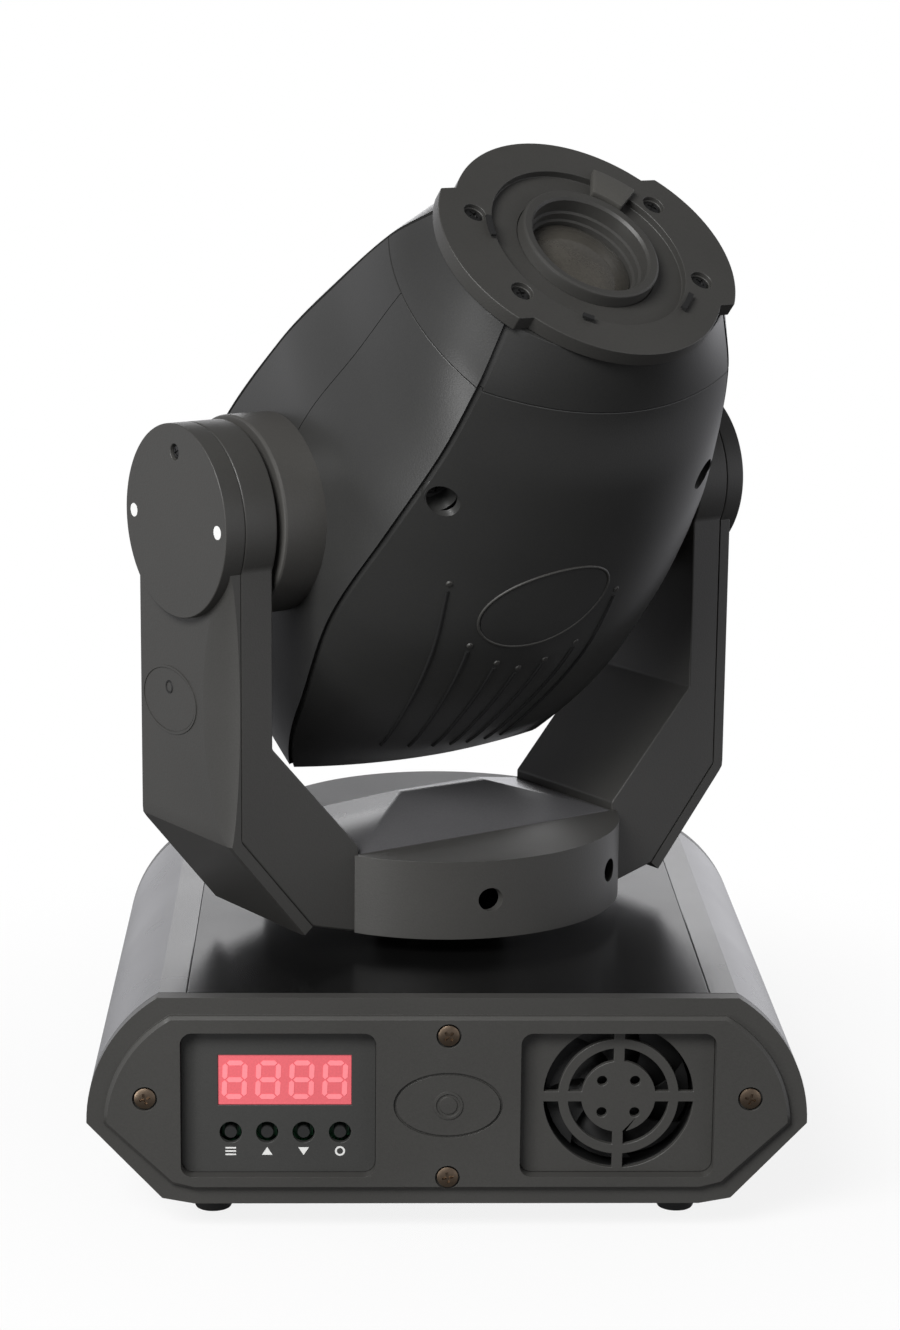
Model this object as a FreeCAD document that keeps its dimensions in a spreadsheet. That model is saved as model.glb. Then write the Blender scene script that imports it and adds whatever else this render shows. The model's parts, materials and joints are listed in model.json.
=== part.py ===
"""Moving head light: a parametric assembly of separate pieces.

Frame: millimetres, +Z up, +X to the right seen from the front panel, +Y to the rear.
The origin is on the floor under the pan axis.
"""
import FreeCAD, Part
import Sketcher
import math
import os

V = FreeCAD.Vector

DIMENSIONS = {
    # Base casing.
    "base_width": 270,
    "base_depth": 252,
    "base_top": 93,
    "foot_height": 12,
    "foot_radius": 8.5,
    "foot_across": 178,
    "foot_along": 189,
    "floor_half": 95,
    "skirt_half": 107,
    "skirt_rise": 2.2,
    "foot_taper": 1.5,
    "knee_height": 44,
    "shoulder_inset": 27,
    "shoulder_radius": 57,
    "seam_half": 97.5,
    "wall": 3,
    # Front bezel and rear panel.
    "bezel_depth": 9,
    "bezel_raise": 3,
    "bezel_bevel": 1.2,
    "rim_width": 6.5,
    "window_inner": 27,
    "window_outer": 99.8,
    "window_low": 23.6,
    "window_high": 80.1,
    "window_corner": 4.5,
    "window_recess": 5.5,
    "plate_thickness": 2.5,
    "bezel_screw_x": 113,
    "bezel_screw_z": 54.5,
    "bezel_screw_high": 79.1,
    "bezel_screw_low": 23.4,
    "screw_recess": 4.65,
    "screw_head": 4.2,
    "screw_shank": 1.6,
    "screw_sink": 2,
    "screw_high": 1.6,
    "emblem_long": 20.4,
    "emblem_short": 12.8,
    "emblem_height": 52,
    "emblem_groove": 1,
    # Controls.
    "display_left": 86,
    "display_right": 36,
    "display_low": 50.1,
    "display_high": 69.9,
    "button_height": 39.4,
    "button_first": 81.3,
    "button_pitch": 13.65,
    "button_radius": 2.25,
    "button_hole": 4.15,
    "button_travel": 0.6,
    "board_gap": 9,
    "board_thickness": 1.6,
    "board_margin": 4,
    "display_recess": 0.5,
    "display_margin": 1,
    "button_recess": 0.4,
    "switch_size": 7,
    "switch_height": 5,
    "switch_floor": 1,
    # Base fan.
    "fan_x": 64,
    "fan_z": 53.5,
    "fan_size": 60,
    "fan_depth": 15,
    "fan_bore": 28.5,
    "grille_outer": 28.2,
    "grille_middle": 22.7,
    "grille_inner": 19,
    "grille_centre": 14,
    "grille_rib": 4,
    "grille_hole": 1.9,
    "grille_hole_out": 6.2,
    "fan_back": 2,
    "fan_pin": 1.5,
    "fan_strut": 3,
    "fan_tip_gap": 1,
    "blade_thickness": 1.2,
    "blade_root": 1.5,
    # Rear sockets.
    "inlet_x": 62,
    "socket_height": 52,
    "inlet_wide": 27,
    "inlet_high": 20,
    "inlet_deep": 20,
    "inlet_mouth_wide": 24,
    "inlet_mouth_high": 16.8,
    "inlet_mouth_deep": 15,
    "inlet_flange_wide": 50,
    "inlet_flange_high": 28,
    "inlet_corner": 4,
    "inlet_mouth_corner": 3,
    "inlet_blade_wide": 2,
    "inlet_blade_high": 4,
    "inlet_blade_long": 9,
    "inlet_blade_pitch": 7,
    "inlet_earth_rise": 2,
    "socket_flange": 2,
    "dmx_x": 35,
    "dmx_pitch": 42,
    "dmx_radius": 12,
    "dmx_body": 18,
    "dmx_deep": 12,
    "dmx_cup": 9.6,
    "dmx_flange_wide": 26,
    "dmx_flange_high": 31,
    "dmx_corner": 3,
    "dmx_circle": 5,
    "dmx_pin": 1.2,
    "dmx_pin_long": 9,
    "dmx_contact": 1.3,
    "clamp_across": 80,
    "clamp_along": 106,
    "clamp_hole": 4.25,
    # Power supply.
    "supply_left": 88,
    "supply_right": 38,
    "supply_long": 90,
    "supply_high": 24,
    "terminal_first": 4,
    "terminal_pitch": 9,
    "terminal_width": 7,
    "terminal_deep": 6,
    "terminal_high": 12,
    # Pan drive.
    "spindle_radius": 12,
    "spindle_bore": 8,
    "bearing_radius": 20,
    "bearing_depth": 12,
    "pulley_radius": 30,
    "pinion_radius": 7.5,
    "pulley_width": 8,
    "flange_lip": 2,
    "flange_width": 1,
    "pan_motor_y": 56,
    "pan_motor_size": 42,
    "pan_motor_length": 34,
    "pan_motor_shaft": 2.5,
    "pan_deck": 2,
    "pan_deck_gap": 3,
    "pan_deck_rim": 2,
    "pan_post": 3,
    "spindle_flange": 3,
    "belt_thickness": 1.2,
    # Yoke.
    "pan_rest": 33.5,
    "tilt_rest": 41.1,
    "tilt_height": 262.3,
    "drum_low": 100,
    "drum_high": 131,
    "drum_radius": 72,
    "neck_radius": 26,
    "neck_gap": 0.4,
    "bridge_rise": 12.3,
    "bridge_ridge": 20,
    "bridge_ridge_half": 3,
    "bridge_hollow": 12,
    "bridge_hollow_high": 6,
    "drum_mouth_rim": 6,
    "drum_door": 4.6,
    "drum_door_left": 24,
    "drum_door_right": 40,
    "arm_inner": 101,
    "arm_outer": 120,
    "arm_depth": 66,
    "cover_thickness": 5,
    "cap_face": 123.5,
    "cap_radius": 36.7,
    "cap_screw_up": 26,
    "cap_screw_sink": 2,
    "cap_screw_head": 2.72,
    "cap_screw_well": 3.04,
    "cap_screw_high": 1.2,
    "cap_screw_long": 4,
    "arm_emblem_y": 9,
    "arm_emblem_drop": 71,
    "arm_root": 62,
    "inner_bend": 178,
    "inner_foot": 134.5,
    "outer_bend": 142,
    "heel_x": 87,
    "heel_z": 102.5,
    # Tilt drive.
    "tilt_pulley_radius": 24,
    "tilt_pinion_radius": 6,
    "tilt_pinion_height": 153,
    "tilt_pulley_in": 108,
    "tilt_pulley_width": 5,
    "tilt_bearing_radius": 18,
    "tilt_bearing_depth": 6,
    "tilt_boss_wall": 3,
    "tilt_motor_radius": 12,
    "tilt_motor_length": 9,
    "tilt_motor_flange": 1.5,
    "tilt_motor_half": 6,
    "tilt_motor_shaft": 1.5,
    "tilt_motor_in": 5.5,
    "tilt_belt_edge": 0.8,
    "tilt_belt_thickness": 1,
    "hub_stem_past": 1,
    "hub_radius": 34,
    "hub_face": 98.5,
    "hub_back": 74,
    # Head shells: stations along the optical axis, measured from the tilt axis.
    "nose_split": 110,
    "plate_back": 132,
    "plate_face": 138,
    "rear_split": -92,
    "shell_split": 8,
    "shell_screw_x": 61,
    "shell_screw_y": 46,
    "shell_screw_z": 67,
    "shell_sink": 6,
    "shell_wall": 3,
    "shell_thread_long": 4,
    "rear_slot_half": 26,
    "rear_slot_width": 4,
    "rear_slot_pitch": 9,
    "plate_disc": 53.8,
    "plate_wing": 61,
    "plate_ear_x": 49.5,
    "plate_ear_y": 32.5,
    "plate_screw_x": 41.3,
    "plate_screw_y": 19.6,
    "plate_screw_head": 3.6,
    "plate_screw_high": 1.3,
    "plate_screw_long": 4,
    "plate_recess": 39,
    "plate_recess_depth": 3,
    # Optics.
    "lens_ring": 27.6,
    "lens_radius": 21,
    "lens_proud": 2,
    "lens_shelf": 2,
    "lens_sunk": 12,
    "lens_thickness": 4,
    "lens_travel": 22,
    "guide_wall": 3,
    "guide_length": 26,
    "wheel_radius": 34,
    "wheel_offset": 24,
    "wheel_thickness": 1.5,
    "filter_radius": 7,
    "colour_wheel_at": 22,
    "gobo_wheel_at": 28,
    "wheel_motor_radius": 10,
    "wheel_motor_length": 18,
    "wheel_shaft": 1.5,
    "wheel_shaft_long": 3,
    "wheel_gap": 1,
    "engine_back": 62,
    "engine_front": 6,
    "engine_core": 14,
    "fin_radius": 36,
    "fin_pitch": 6,
    "fin_thickness": 2,
    "lamp_radius": 10,
    "lamp_length": 10,
    "deck_back": 6,
    "deck_front": 3,
    "deck_half": 30,
    "lug_half_high": 24,
    "lug_half_long": 20,
    "rail_in": 38,
    "rail_out": 42,
    "rail_half": 10,
    "wall_back": 60,
    "wall_front": 63,
    "wall_half": 36,
    "beam_radius": 20,
    "beam_back": 10,
    "beam_front": 70,
    "head_fan_size": 50,
    "head_fan_depth": 12,
    "head_fan_bore": 23,
    "head_fan_back": 80,
    # Clearances.
    "running": 0.05,
    "loose": 0.3,
    "panel_gap": 0.1,
}

# Each station: place along the axis, corner x, corner y, apex y, cheek x, drop below the axis.
STATIONS = [
    (-101, 48, 44, 48, 51, 1),
    (-92, 61, 55, 60, 63.5, 2),
    (-50, 75, 55, 76.5, 77.5, 3),
    (0, 80, 50.5, 82.5, 82, 3),
    (45, 74, 49, 75, 80.5, 3),
    (80, 65.5, 45, 67, 73, 3),
    (110, 58, 38.5, 54.5, 67.5, 2),
    (132, 49.5, 28.5, 50, 59.5, 0.5),
]
STATION_WORDS = ("place", "corner_x", "corner_y", "apex", "cheek", "drop")
for number, station in enumerate(STATIONS):
    for word, size in zip(STATION_WORDS, station):
        DIMENSIONS[f"station_{number}_{word}"] = size

doc = FreeCAD.newDocument("moving_head_light")
sheet = doc.addObject("Spreadsheet::Sheet", "dims")
for row, (alias, amount) in enumerate(DIMENSIONS.items(), start=1):
    sheet.set(f"A{row}", alias.replace("_", " "))
    sheet.set(f"B{row}", str(amount))
    sheet.setAlias(f"B{row}", alias)
doc.recompute()


class Size:
    """A length with its value now and the expression that ties it to the sheet."""

    def __init__(self, value, text):
        self.value = value
        self.text = text

    def joined(self, other, sign, value):
        return Size(value, f"({self.text} {sign} {size_of(other).text})")

    def __add__(self, other):
        return self.joined(other, "+", self.value + size_of(other).value)

    def __sub__(self, other):
        return self.joined(other, "-", self.value - size_of(other).value)

    def __mul__(self, other):
        return self.joined(other, "*", self.value * size_of(other).value)

    def __truediv__(self, other):
        return self.joined(other, "/", self.value / size_of(other).value)

    def __neg__(self):
        return Size(-self.value, f"(-1 * {self.text})")

    def __radd__(self, other):
        return size_of(other) + self

    def __rsub__(self, other):
        return size_of(other) - self

    def __rmul__(self, other):
        return size_of(other) * self


def size_of(thing):
    """Give a plain number the same form as a size from the sheet."""
    return thing if isinstance(thing, Size) else Size(float(thing), f"{float(thing):.6f}")


def root(size):
    """Square root of a size."""
    return Size(math.sqrt(size.value), f"sqrt({size.text})")


class Dims:
    """The sheet's cells by name."""

    def __getattr__(self, alias):
        return Size(float(DIMENSIONS[alias]), f"dims.{alias}")


d = Dims()


# ---------------------------------------------------------------- builders

TURNS = {
    "X": FreeCAD.Rotation(V(1, 1, 1), 120),
    "Y": FreeCAD.Rotation(V(1, 0, 0), 90),
    "Z": FreeCAD.Rotation(),
}
ROD_TURNS = {
    "X": FreeCAD.Rotation(V(0, 1, 0), 90),
    "Y": FreeCAD.Rotation(V(1, 0, 0), -90),
    "Z": FreeCAD.Rotation(),
}
DIRECTIONS = {"X": V(1, 0, 0), "Y": V(0, 1, 0), "Z": V(0, 0, 1)}


def tie(thing, **sizes):
    """Bind an object's properties to sizes."""
    for name, size in sizes.items():
        thing.setExpression(name.replace("_", "."), size_of(size).text)
    return thing


def place(thing, x, y, z, turn=FreeCAD.Rotation()):
    """Put an object at a point that follows the sheet."""
    thing.Placement = FreeCAD.Placement(V(0, 0, 0), turn)
    return tie(thing, Placement_Base_x=x, Placement_Base_y=y, Placement_Base_z=z)


def along(axis, start, first, second):
    """Coordinates of a point given along an axis and across it."""
    return {"X": (start, first, second), "Y": (first, start, second), "Z": (first, second, start)}[axis]


def box(name, x_span, y_span, z_span):
    """A box between two limits on each axis."""
    spans = [(size_of(low), size_of(high)) for low, high in (x_span, y_span, z_span)]
    thing = doc.addObject("Part::Box", name)
    place(thing, *(low for low, high in spans))
    lengths = [high - low for low, high in spans]
    return tie(thing, Length=lengths[0], Width=lengths[1], Height=lengths[2])


def rod(name, axis, radius, start, end, first=0, second=0):
    """A cylinder along an axis between two limits."""
    thing = doc.addObject("Part::Cylinder", name)
    place(thing, *along(axis, start, first, second), ROD_TURNS[axis])
    return tie(thing, Radius=radius, Height=size_of(end) - size_of(start))


def fuse(name, *pieces):
    """Several pieces as one solid, or as a group where they stand apart."""
    thing = doc.addObject("Part::MultiFuse", name)
    thing.Shapes = list(pieces)
    return thing


def cut(name, base, *tools):
    """A piece less its tools."""
    thing = doc.addObject("Part::Cut", name)
    thing.Base = base
    thing.Tool = tools[0] if len(tools) == 1 else fuse(f"{name}_tools", *tools)
    return thing


def common(name, first, second):
    """What two pieces share."""
    thing = doc.addObject("Part::Common", name)
    thing.Base = first
    thing.Tool = second
    return thing


def tube(name, axis, outer, inner, start, end, first=0, second=0):
    """A cylinder with a coaxial bore."""
    body = rod(f"{name}_body", axis, outer, start, end, first, second)
    bore = rod(f"{name}_bore", axis, inner, size_of(start) - 1, size_of(end) + 1, first, second)
    return cut(name, body, bore)


def arc_between(start, end, radius, counterclockwise):
    """The shorter arc of a circle between two points."""
    chord = end - start
    height = math.sqrt(max(radius * radius - chord.Length * chord.Length / 4, 0))
    side = V(-chord.y, chord.x, 0).normalize() * height
    centre = (start + end) * 0.5 + (side if counterclockwise else side * -1)
    first, last = (start, end) if counterclockwise else (end, start)
    angles = [math.atan2(point.y - centre.y, point.x - centre.x) for point in (first, last)]
    return Part.ArcOfCircle(Part.Circle(centre, V(0, 0, 1), radius), angles[0], angles[1])


def outline(name, axis, corners, at=0):
    """A closed sketch across an axis. A corner may carry the radius of the arc that leads to it:
    a positive radius runs counterclockwise and a negative one clockwise."""
    sketch = doc.addObject("Sketcher::SketchObject", name)
    place(sketch, *along(axis, at, 0, 0), TURNS[axis])
    corners = [tuple(size_of(part) for part in corner) for corner in corners]
    points = [V(corner[0].value, corner[1].value, 0) for corner in corners]
    shapes, ends, rounds = [], [], []
    for i, point in enumerate(points):
        following = corners[(i + 1) % len(corners)]
        target = points[(i + 1) % len(points)]
        if len(following) == 2:
            shapes.append(Part.LineSegment(point, target))
            ends.append((1, 2))
            continue
        radius = following[2]
        forward = radius.value > 0
        shapes.append(arc_between(point, target, abs(radius.value), forward))
        ends.append((1, 2) if forward else (2, 1))
        rounds.append((i, radius if forward else -radius))
    sketch.addGeometry(shapes, False)
    ties, rules = [], []
    for i, (begin, finish) in enumerate(ends):
        following = (i + 1) % len(ends)
        rules.append(Sketcher.Constraint("Coincident", i, finish, following, ends[following][0]))
    for i, (begin, finish) in enumerate(ends):
        for kind, part in (("DistanceX", corners[i][0]), ("DistanceY", corners[i][1])):
            ties.append((len(rules), part))
            rules.append(Sketcher.Constraint(kind, i, begin, part.value))
    for i, radius in rounds:
        ties.append((len(rules), radius))
        rules.append(Sketcher.Constraint("Radius", i, radius.value))
    sketch.addConstraint(rules)
    for index, part in ties:
        sketch.setExpression(f"Constraints[{index}]", part.text)
    return sketch


def extrude(name, profile, axis, length):
    """A profile pushed along an axis."""
    thing = doc.addObject("Part::Extrusion", name)
    thing.Base = profile
    thing.DirMode = "Custom"
    thing.Dir = DIRECTIONS[axis]
    thing.Solid = True
    return tie(thing, LengthFwd=length)


def prism(name, axis, corners, start, end):
    """A solid with an outline across an axis, between two limits."""
    profile = outline(f"{name}_outline", axis, corners, start)
    return extrude(name, profile, axis, size_of(end) - size_of(start))


def rounded(low_x, high_x, low_y, high_y, radius):
    """The corners of a rectangle with round corners."""
    low_x, high_x, low_y, high_y, radius = map(size_of, (low_x, high_x, low_y, high_y, radius))
    return [
        (low_x + radius, low_y), (high_x - radius, low_y),
        (high_x, low_y + radius, radius), (high_x, high_y - radius),
        (high_x - radius, high_y, radius), (low_x + radius, high_y),
        (low_x, high_y - radius, radius), (low_x, low_y + radius),
    ][1:] + [(low_x + radius, low_y, radius)]


def mirrored(corners, side):
    """Corners drawn for the right-hand side, or turned over for the left."""
    return [(side * corner[0],) + tuple(corner[1:]) for corner in corners]


SUB_PARTS = []


def frame(name, expression):
    """A named frame that the pieces of one moving group follow."""
    thing = doc.addObject("App::Placement", name)
    thing.setExpression("Placement", expression)
    return thing


def sub_part(thing, label, follows=None):
    """Hand over a finished piece under its own name."""
    if follows is not None:
        if thing.ExpressionEngine:
            group = doc.addObject("Part::Compound", f"{label}_group")
            group.Links = [thing]
            thing = group
        thing.setExpression("Placement", f"{follows.Name}.Placement")
    thing.Label = label
    SUB_PARTS.append(thing)
    return thing


YOKE = frame("yoke_frame", "create(<<placement>>; create(<<vector>>; 0; 0; 0); "
             "create(<<rotation>>; create(<<vector>>; 0; 0; 1); dims.pan_rest))")
HEAD = frame("head_frame", "yoke_frame.Placement * create(<<placement>>; "
             "create(<<vector>>; 0; 0; dims.tilt_height); "
             "create(<<rotation>>; create(<<vector>>; 1; 0; 0); dims.tilt_rest))")

# ---------------------------------------------------------------- base casing

HALF = d.base_width / 2
FRONT = -(d.base_depth / 2)
REAR = d.base_depth / 2
INNER_FRONT = FRONT + d.bezel_depth
INNER_REAR = REAR - d.bezel_depth
SHOULDER = HALF - d.shoulder_inset
FLOOR = d.foot_height + d.wall
PLATE_FRONT = FRONT + d.window_recess
PLATE_BACK = PLATE_FRONT + d.plate_thickness


def casing_side(inset):
    """The casing's right-hand corners from the floor up to the top, set in by an amount."""
    inset = size_of(inset)
    return [
        (d.skirt_half - inset * 0.55, d.foot_height + d.skirt_rise + inset),
        (HALF - inset, d.knee_height + inset * 0.1),
        (SHOULDER - inset * 0.7, d.base_top - inset, d.shoulder_radius - inset),
    ]


def casing_outline(inset):
    """The whole outline of the casing's end, set in by an amount."""
    right = casing_side(inset)
    left = [(-corner[0], corner[1]) for corner in reversed(right)]
    left[1] = left[1] + (right[2][2],)
    floor = d.foot_height + size_of(inset)
    return [(d.floor_half, floor)] + right + left + [(-d.floor_half, floor)]


def bezel_screws():
    """Places of an end panel's four screws, across and up."""
    return [
        (-d.bezel_screw_x, d.bezel_screw_z), (d.bezel_screw_x, d.bezel_screw_z),
        (size_of(0), d.bezel_screw_high), (size_of(0), d.bezel_screw_low),
    ]


def end_panel(name, face, inward):
    """An end panel with a raised middle, less its screw holes."""
    step = face + inward * d.bezel_raise
    back = face + inward * d.bezel_depth
    low, high = (step, back) if inward > 0 else (back, step)
    rim = prism(f"{name}_rim", "Y", casing_outline(0), low, high)
    low, high = (face, step) if inward > 0 else (step, face)
    middle = prism(f"{name}_middle", "Y", casing_outline(d.rim_width), low, high)
    chamfered = doc.addObject("Part::Chamfer", f"{name}_bevelled")
    chamfered.Base = middle
    doc.recompute()
    edges = [number for number, edge in enumerate(middle.Shape.Edges, start=1)
             if abs(edge.BoundBox.YMin - face.value) < 1e-6 and abs(edge.BoundBox.YMax - face.value) < 1e-6]
    chamfered.Edges = [(number, d.bezel_bevel.value, d.bezel_bevel.value) for number in edges]
    body = fuse(f"{name}_body", rim, chamfered)
    tools = []
    for index, (x, z) in enumerate(bezel_screws()):
        sink = face + inward * d.screw_sink
        low, high = (face - 1, sink) if inward > 0 else (sink, face + 1)
        tools.append(rod(f"{name}_sink_{index}", "Y", d.screw_recess, low, high, x, z))
        low, high = (face, back + 1) if inward > 0 else (back - 1, face)
        tools.append(rod(f"{name}_hole_{index}", "Y", d.screw_shank + d.panel_gap, low, high, x, z))
    return body, tools


def base_pan():
    """The floor of the casing, with the holes for the clamp bracket."""
    corners = [
        (d.floor_half, d.foot_height), (d.skirt_half, d.foot_height + d.skirt_rise),
        (d.skirt_half - d.wall * 0.55, d.foot_height + d.skirt_rise + d.wall), (d.floor_half, FLOOR),
    ]
    whole = corners + [(-corner[0], corner[1]) for corner in reversed(corners)]
    body = prism("base_pan_body", "Y", whole, INNER_FRONT, INNER_REAR)
    holes = [
        rod(f"clamp_hole_{i}_{j}", "Z", d.clamp_hole, d.foot_height - 1, FLOOR + 1,
            i * d.clamp_across / 2, j * d.clamp_along / 2)
        for i in (-1, 1) for j in (-1, 1)
    ]
    return cut("base_pan", body, *holes)


def top_plate():
    """The flat top, with the hole that the pan spindle turns in."""
    plate = box("top_plate_body", (-d.seam_half, d.seam_half), (INNER_FRONT, INNER_REAR),
                (d.base_top - d.wall, d.base_top))
    hole = rod("top_plate_hole", "Z", d.spindle_radius + 2, d.base_top - d.wall - 1, d.base_top + 1)
    return cut("top_plate", plate, hole)


def side_cover(label, side):
    """One rounded flank of the casing."""
    outer = casing_side(0)
    inner = casing_side(d.wall)
    corners = outer + [(d.seam_half, d.base_top), (d.seam_half, d.base_top - d.wall), inner[2][:2]]
    corners += [inner[1] + (-(d.shoulder_radius - d.wall),), inner[0]]
    if side < 0:
        corners = [corner[:2] + ((-corner[2],) if len(corner) == 3 else ()) for corner in corners]
    return prism(label, "Y", mirrored(corners, side), INNER_FRONT, INNER_REAR)


def emblem(name, axis, centre, face, depth):
    """An oval groove, as the tool that cuts it."""
    rings = []
    for suffix, step in (("outer", 0), ("inner", 1)):
        oval = doc.addObject("Part::Ellipse", f"{name}_{suffix}_oval")
        place(oval, *along(axis, face, *centre), TURNS[axis])
        tie(oval, MajorRadius=d.emblem_long - step * d.emblem_groove,
            MinorRadius=d.emblem_short - step * d.emblem_groove)
        rings.append(extrude(f"{name}_{suffix}", oval, axis, depth))
    return cut(name, *rings)


def front_bezel():
    """The front frame with its two windows."""
    body, tools = end_panel("front", FRONT, 1)
    for label, side in (("control", -1), ("fan", 1)):
        low, high = (d.window_inner, d.window_outer) if side > 0 else (-d.window_outer, -d.window_inner)
        corners = rounded(low, high, d.window_low, d.window_high, d.window_corner)
        tools.append(prism(f"{label}_window", "Y", corners, FRONT - 1, INNER_FRONT + 1))
    tools.append(emblem("front_emblem", "Y", (0, d.emblem_height), FRONT - 1, 1 + d.emblem_groove))
    return cut("front_bezel", body, *tools)


def window_plate(name, side):
    """The plate that sits in one window of the bezel."""
    low, high = (d.window_inner, d.window_outer) if side > 0 else (-d.window_outer, -d.window_inner)
    gap = d.panel_gap
    corners = rounded(low + gap, high - gap, d.window_low + gap, d.window_high - gap, d.window_corner - gap)
    return prism(name, "Y", corners, PLATE_FRONT, PLATE_BACK)


def button_x(index):
    """Place of a button across the panel, counted from the left."""
    return index * d.button_pitch - d.button_first


BUTTONS = ["button_menu", "button_up", "button_down", "button_enter"]
BOARD_FRONT = PLATE_BACK + d.board_gap
SWITCH_FRONT = BOARD_FRONT - d.switch_height
SWITCH_BACK = BOARD_FRONT - d.switch_floor


def controls():
    """Control plate, display and board."""
    opening = box("display_opening", (-d.display_left, -d.display_right), (PLATE_FRONT - 1, PLATE_BACK + 1),
                  (d.display_low, d.display_high))
    holes = [rod(f"{name}_hole", "Y", d.button_hole, PLATE_FRONT - 1, PLATE_BACK + 1, button_x(i),
                 d.button_height) for i, name in enumerate(BUTTONS)]
    sub_part(cut("control_plate", window_plate("control_plate_body", -1), opening, *holes), "control_plate")
    gap = d.panel_gap
    sub_part(box("display_window", (-d.display_left + gap, -d.display_right - gap),
                 (PLATE_FRONT + d.display_recess, PLATE_BACK), (d.display_low + gap, d.display_high - gap)),
             "display_window")
    edge = d.display_margin
    sub_part(box("display_module", (-d.display_left + edge, -d.display_right - edge),
                 (PLATE_BACK, BOARD_FRONT), (d.display_low + edge, d.display_high - edge)), "display_module")
    edge = d.board_margin
    board = box("control_board_sheet", (-d.window_outer + edge, -d.window_inner - edge),
                (BOARD_FRONT, BOARD_FRONT + d.board_thickness), (d.window_low + edge, d.window_high - edge))
    half = d.switch_size / 2
    bodies = [box(f"{name}_switch", (button_x(i) - half, button_x(i) + half), (SWITCH_FRONT, BOARD_FRONT),
                  (d.button_height - half, d.button_height + half)) for i, name in enumerate(BUTTONS)]
    bores = [rod(f"{name}_bore", "Y", d.button_radius + d.running, SWITCH_FRONT - 1, SWITCH_BACK,
                 button_x(i), d.button_height) for i, name in enumerate(BUTTONS)]
    sub_part(cut("control_board", fuse("control_board_body", board, *bodies), *bores), "control_board")
    end = SWITCH_BACK - d.button_travel - d.loose
    for i, name in enumerate(BUTTONS):
        sub_part(rod(name, "Y", d.button_radius, PLATE_FRONT + d.button_recess, end, button_x(i),
                     d.button_height), name)


def fan_grille():
    """The fan's plate with two rings of slots."""
    rings = [
        tube("grille_slots_outer", "Y", d.grille_outer, d.grille_middle, PLATE_FRONT - 1, PLATE_BACK + 1,
             d.fan_x, d.fan_z),
        tube("grille_slots_inner", "Y", d.grille_inner, d.grille_centre, PLATE_FRONT - 1, PLATE_BACK + 1,
             d.fan_x, d.fan_z),
    ]
    half = d.grille_rib / 2
    reach = d.grille_outer + 1
    span = (PLATE_FRONT - 2, PLATE_BACK + 2)
    ribs = [
        box("grille_rib_level", (d.fan_x - reach, d.fan_x + reach), span, (d.fan_z - half, d.fan_z + half)),
        box("grille_rib_upright", (d.fan_x - half, d.fan_x + half), span, (d.fan_z - reach, d.fan_z + reach)),
    ]
    slots = cut("grille_slots", fuse("grille_rings", *rings), *ribs)
    holes = [rod(f"grille_hole_{i}_{j}", "Y", d.grille_hole, PLATE_FRONT - 1, PLATE_BACK + 1,
                 d.fan_x + i * d.grille_hole_out, d.fan_z + j * d.grille_hole_out)
             for i in (-1, 1) for j in (-1, 1)]
    return cut("fan_grille", window_plate("fan_grille_body", 1), slots, *holes)


BLADES = 7
BLADE_PITCH = 32
BLADE_CHORD = 0.42
BLADE_LEAD = 0.18
HUB_SHARE = 0.4


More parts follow.
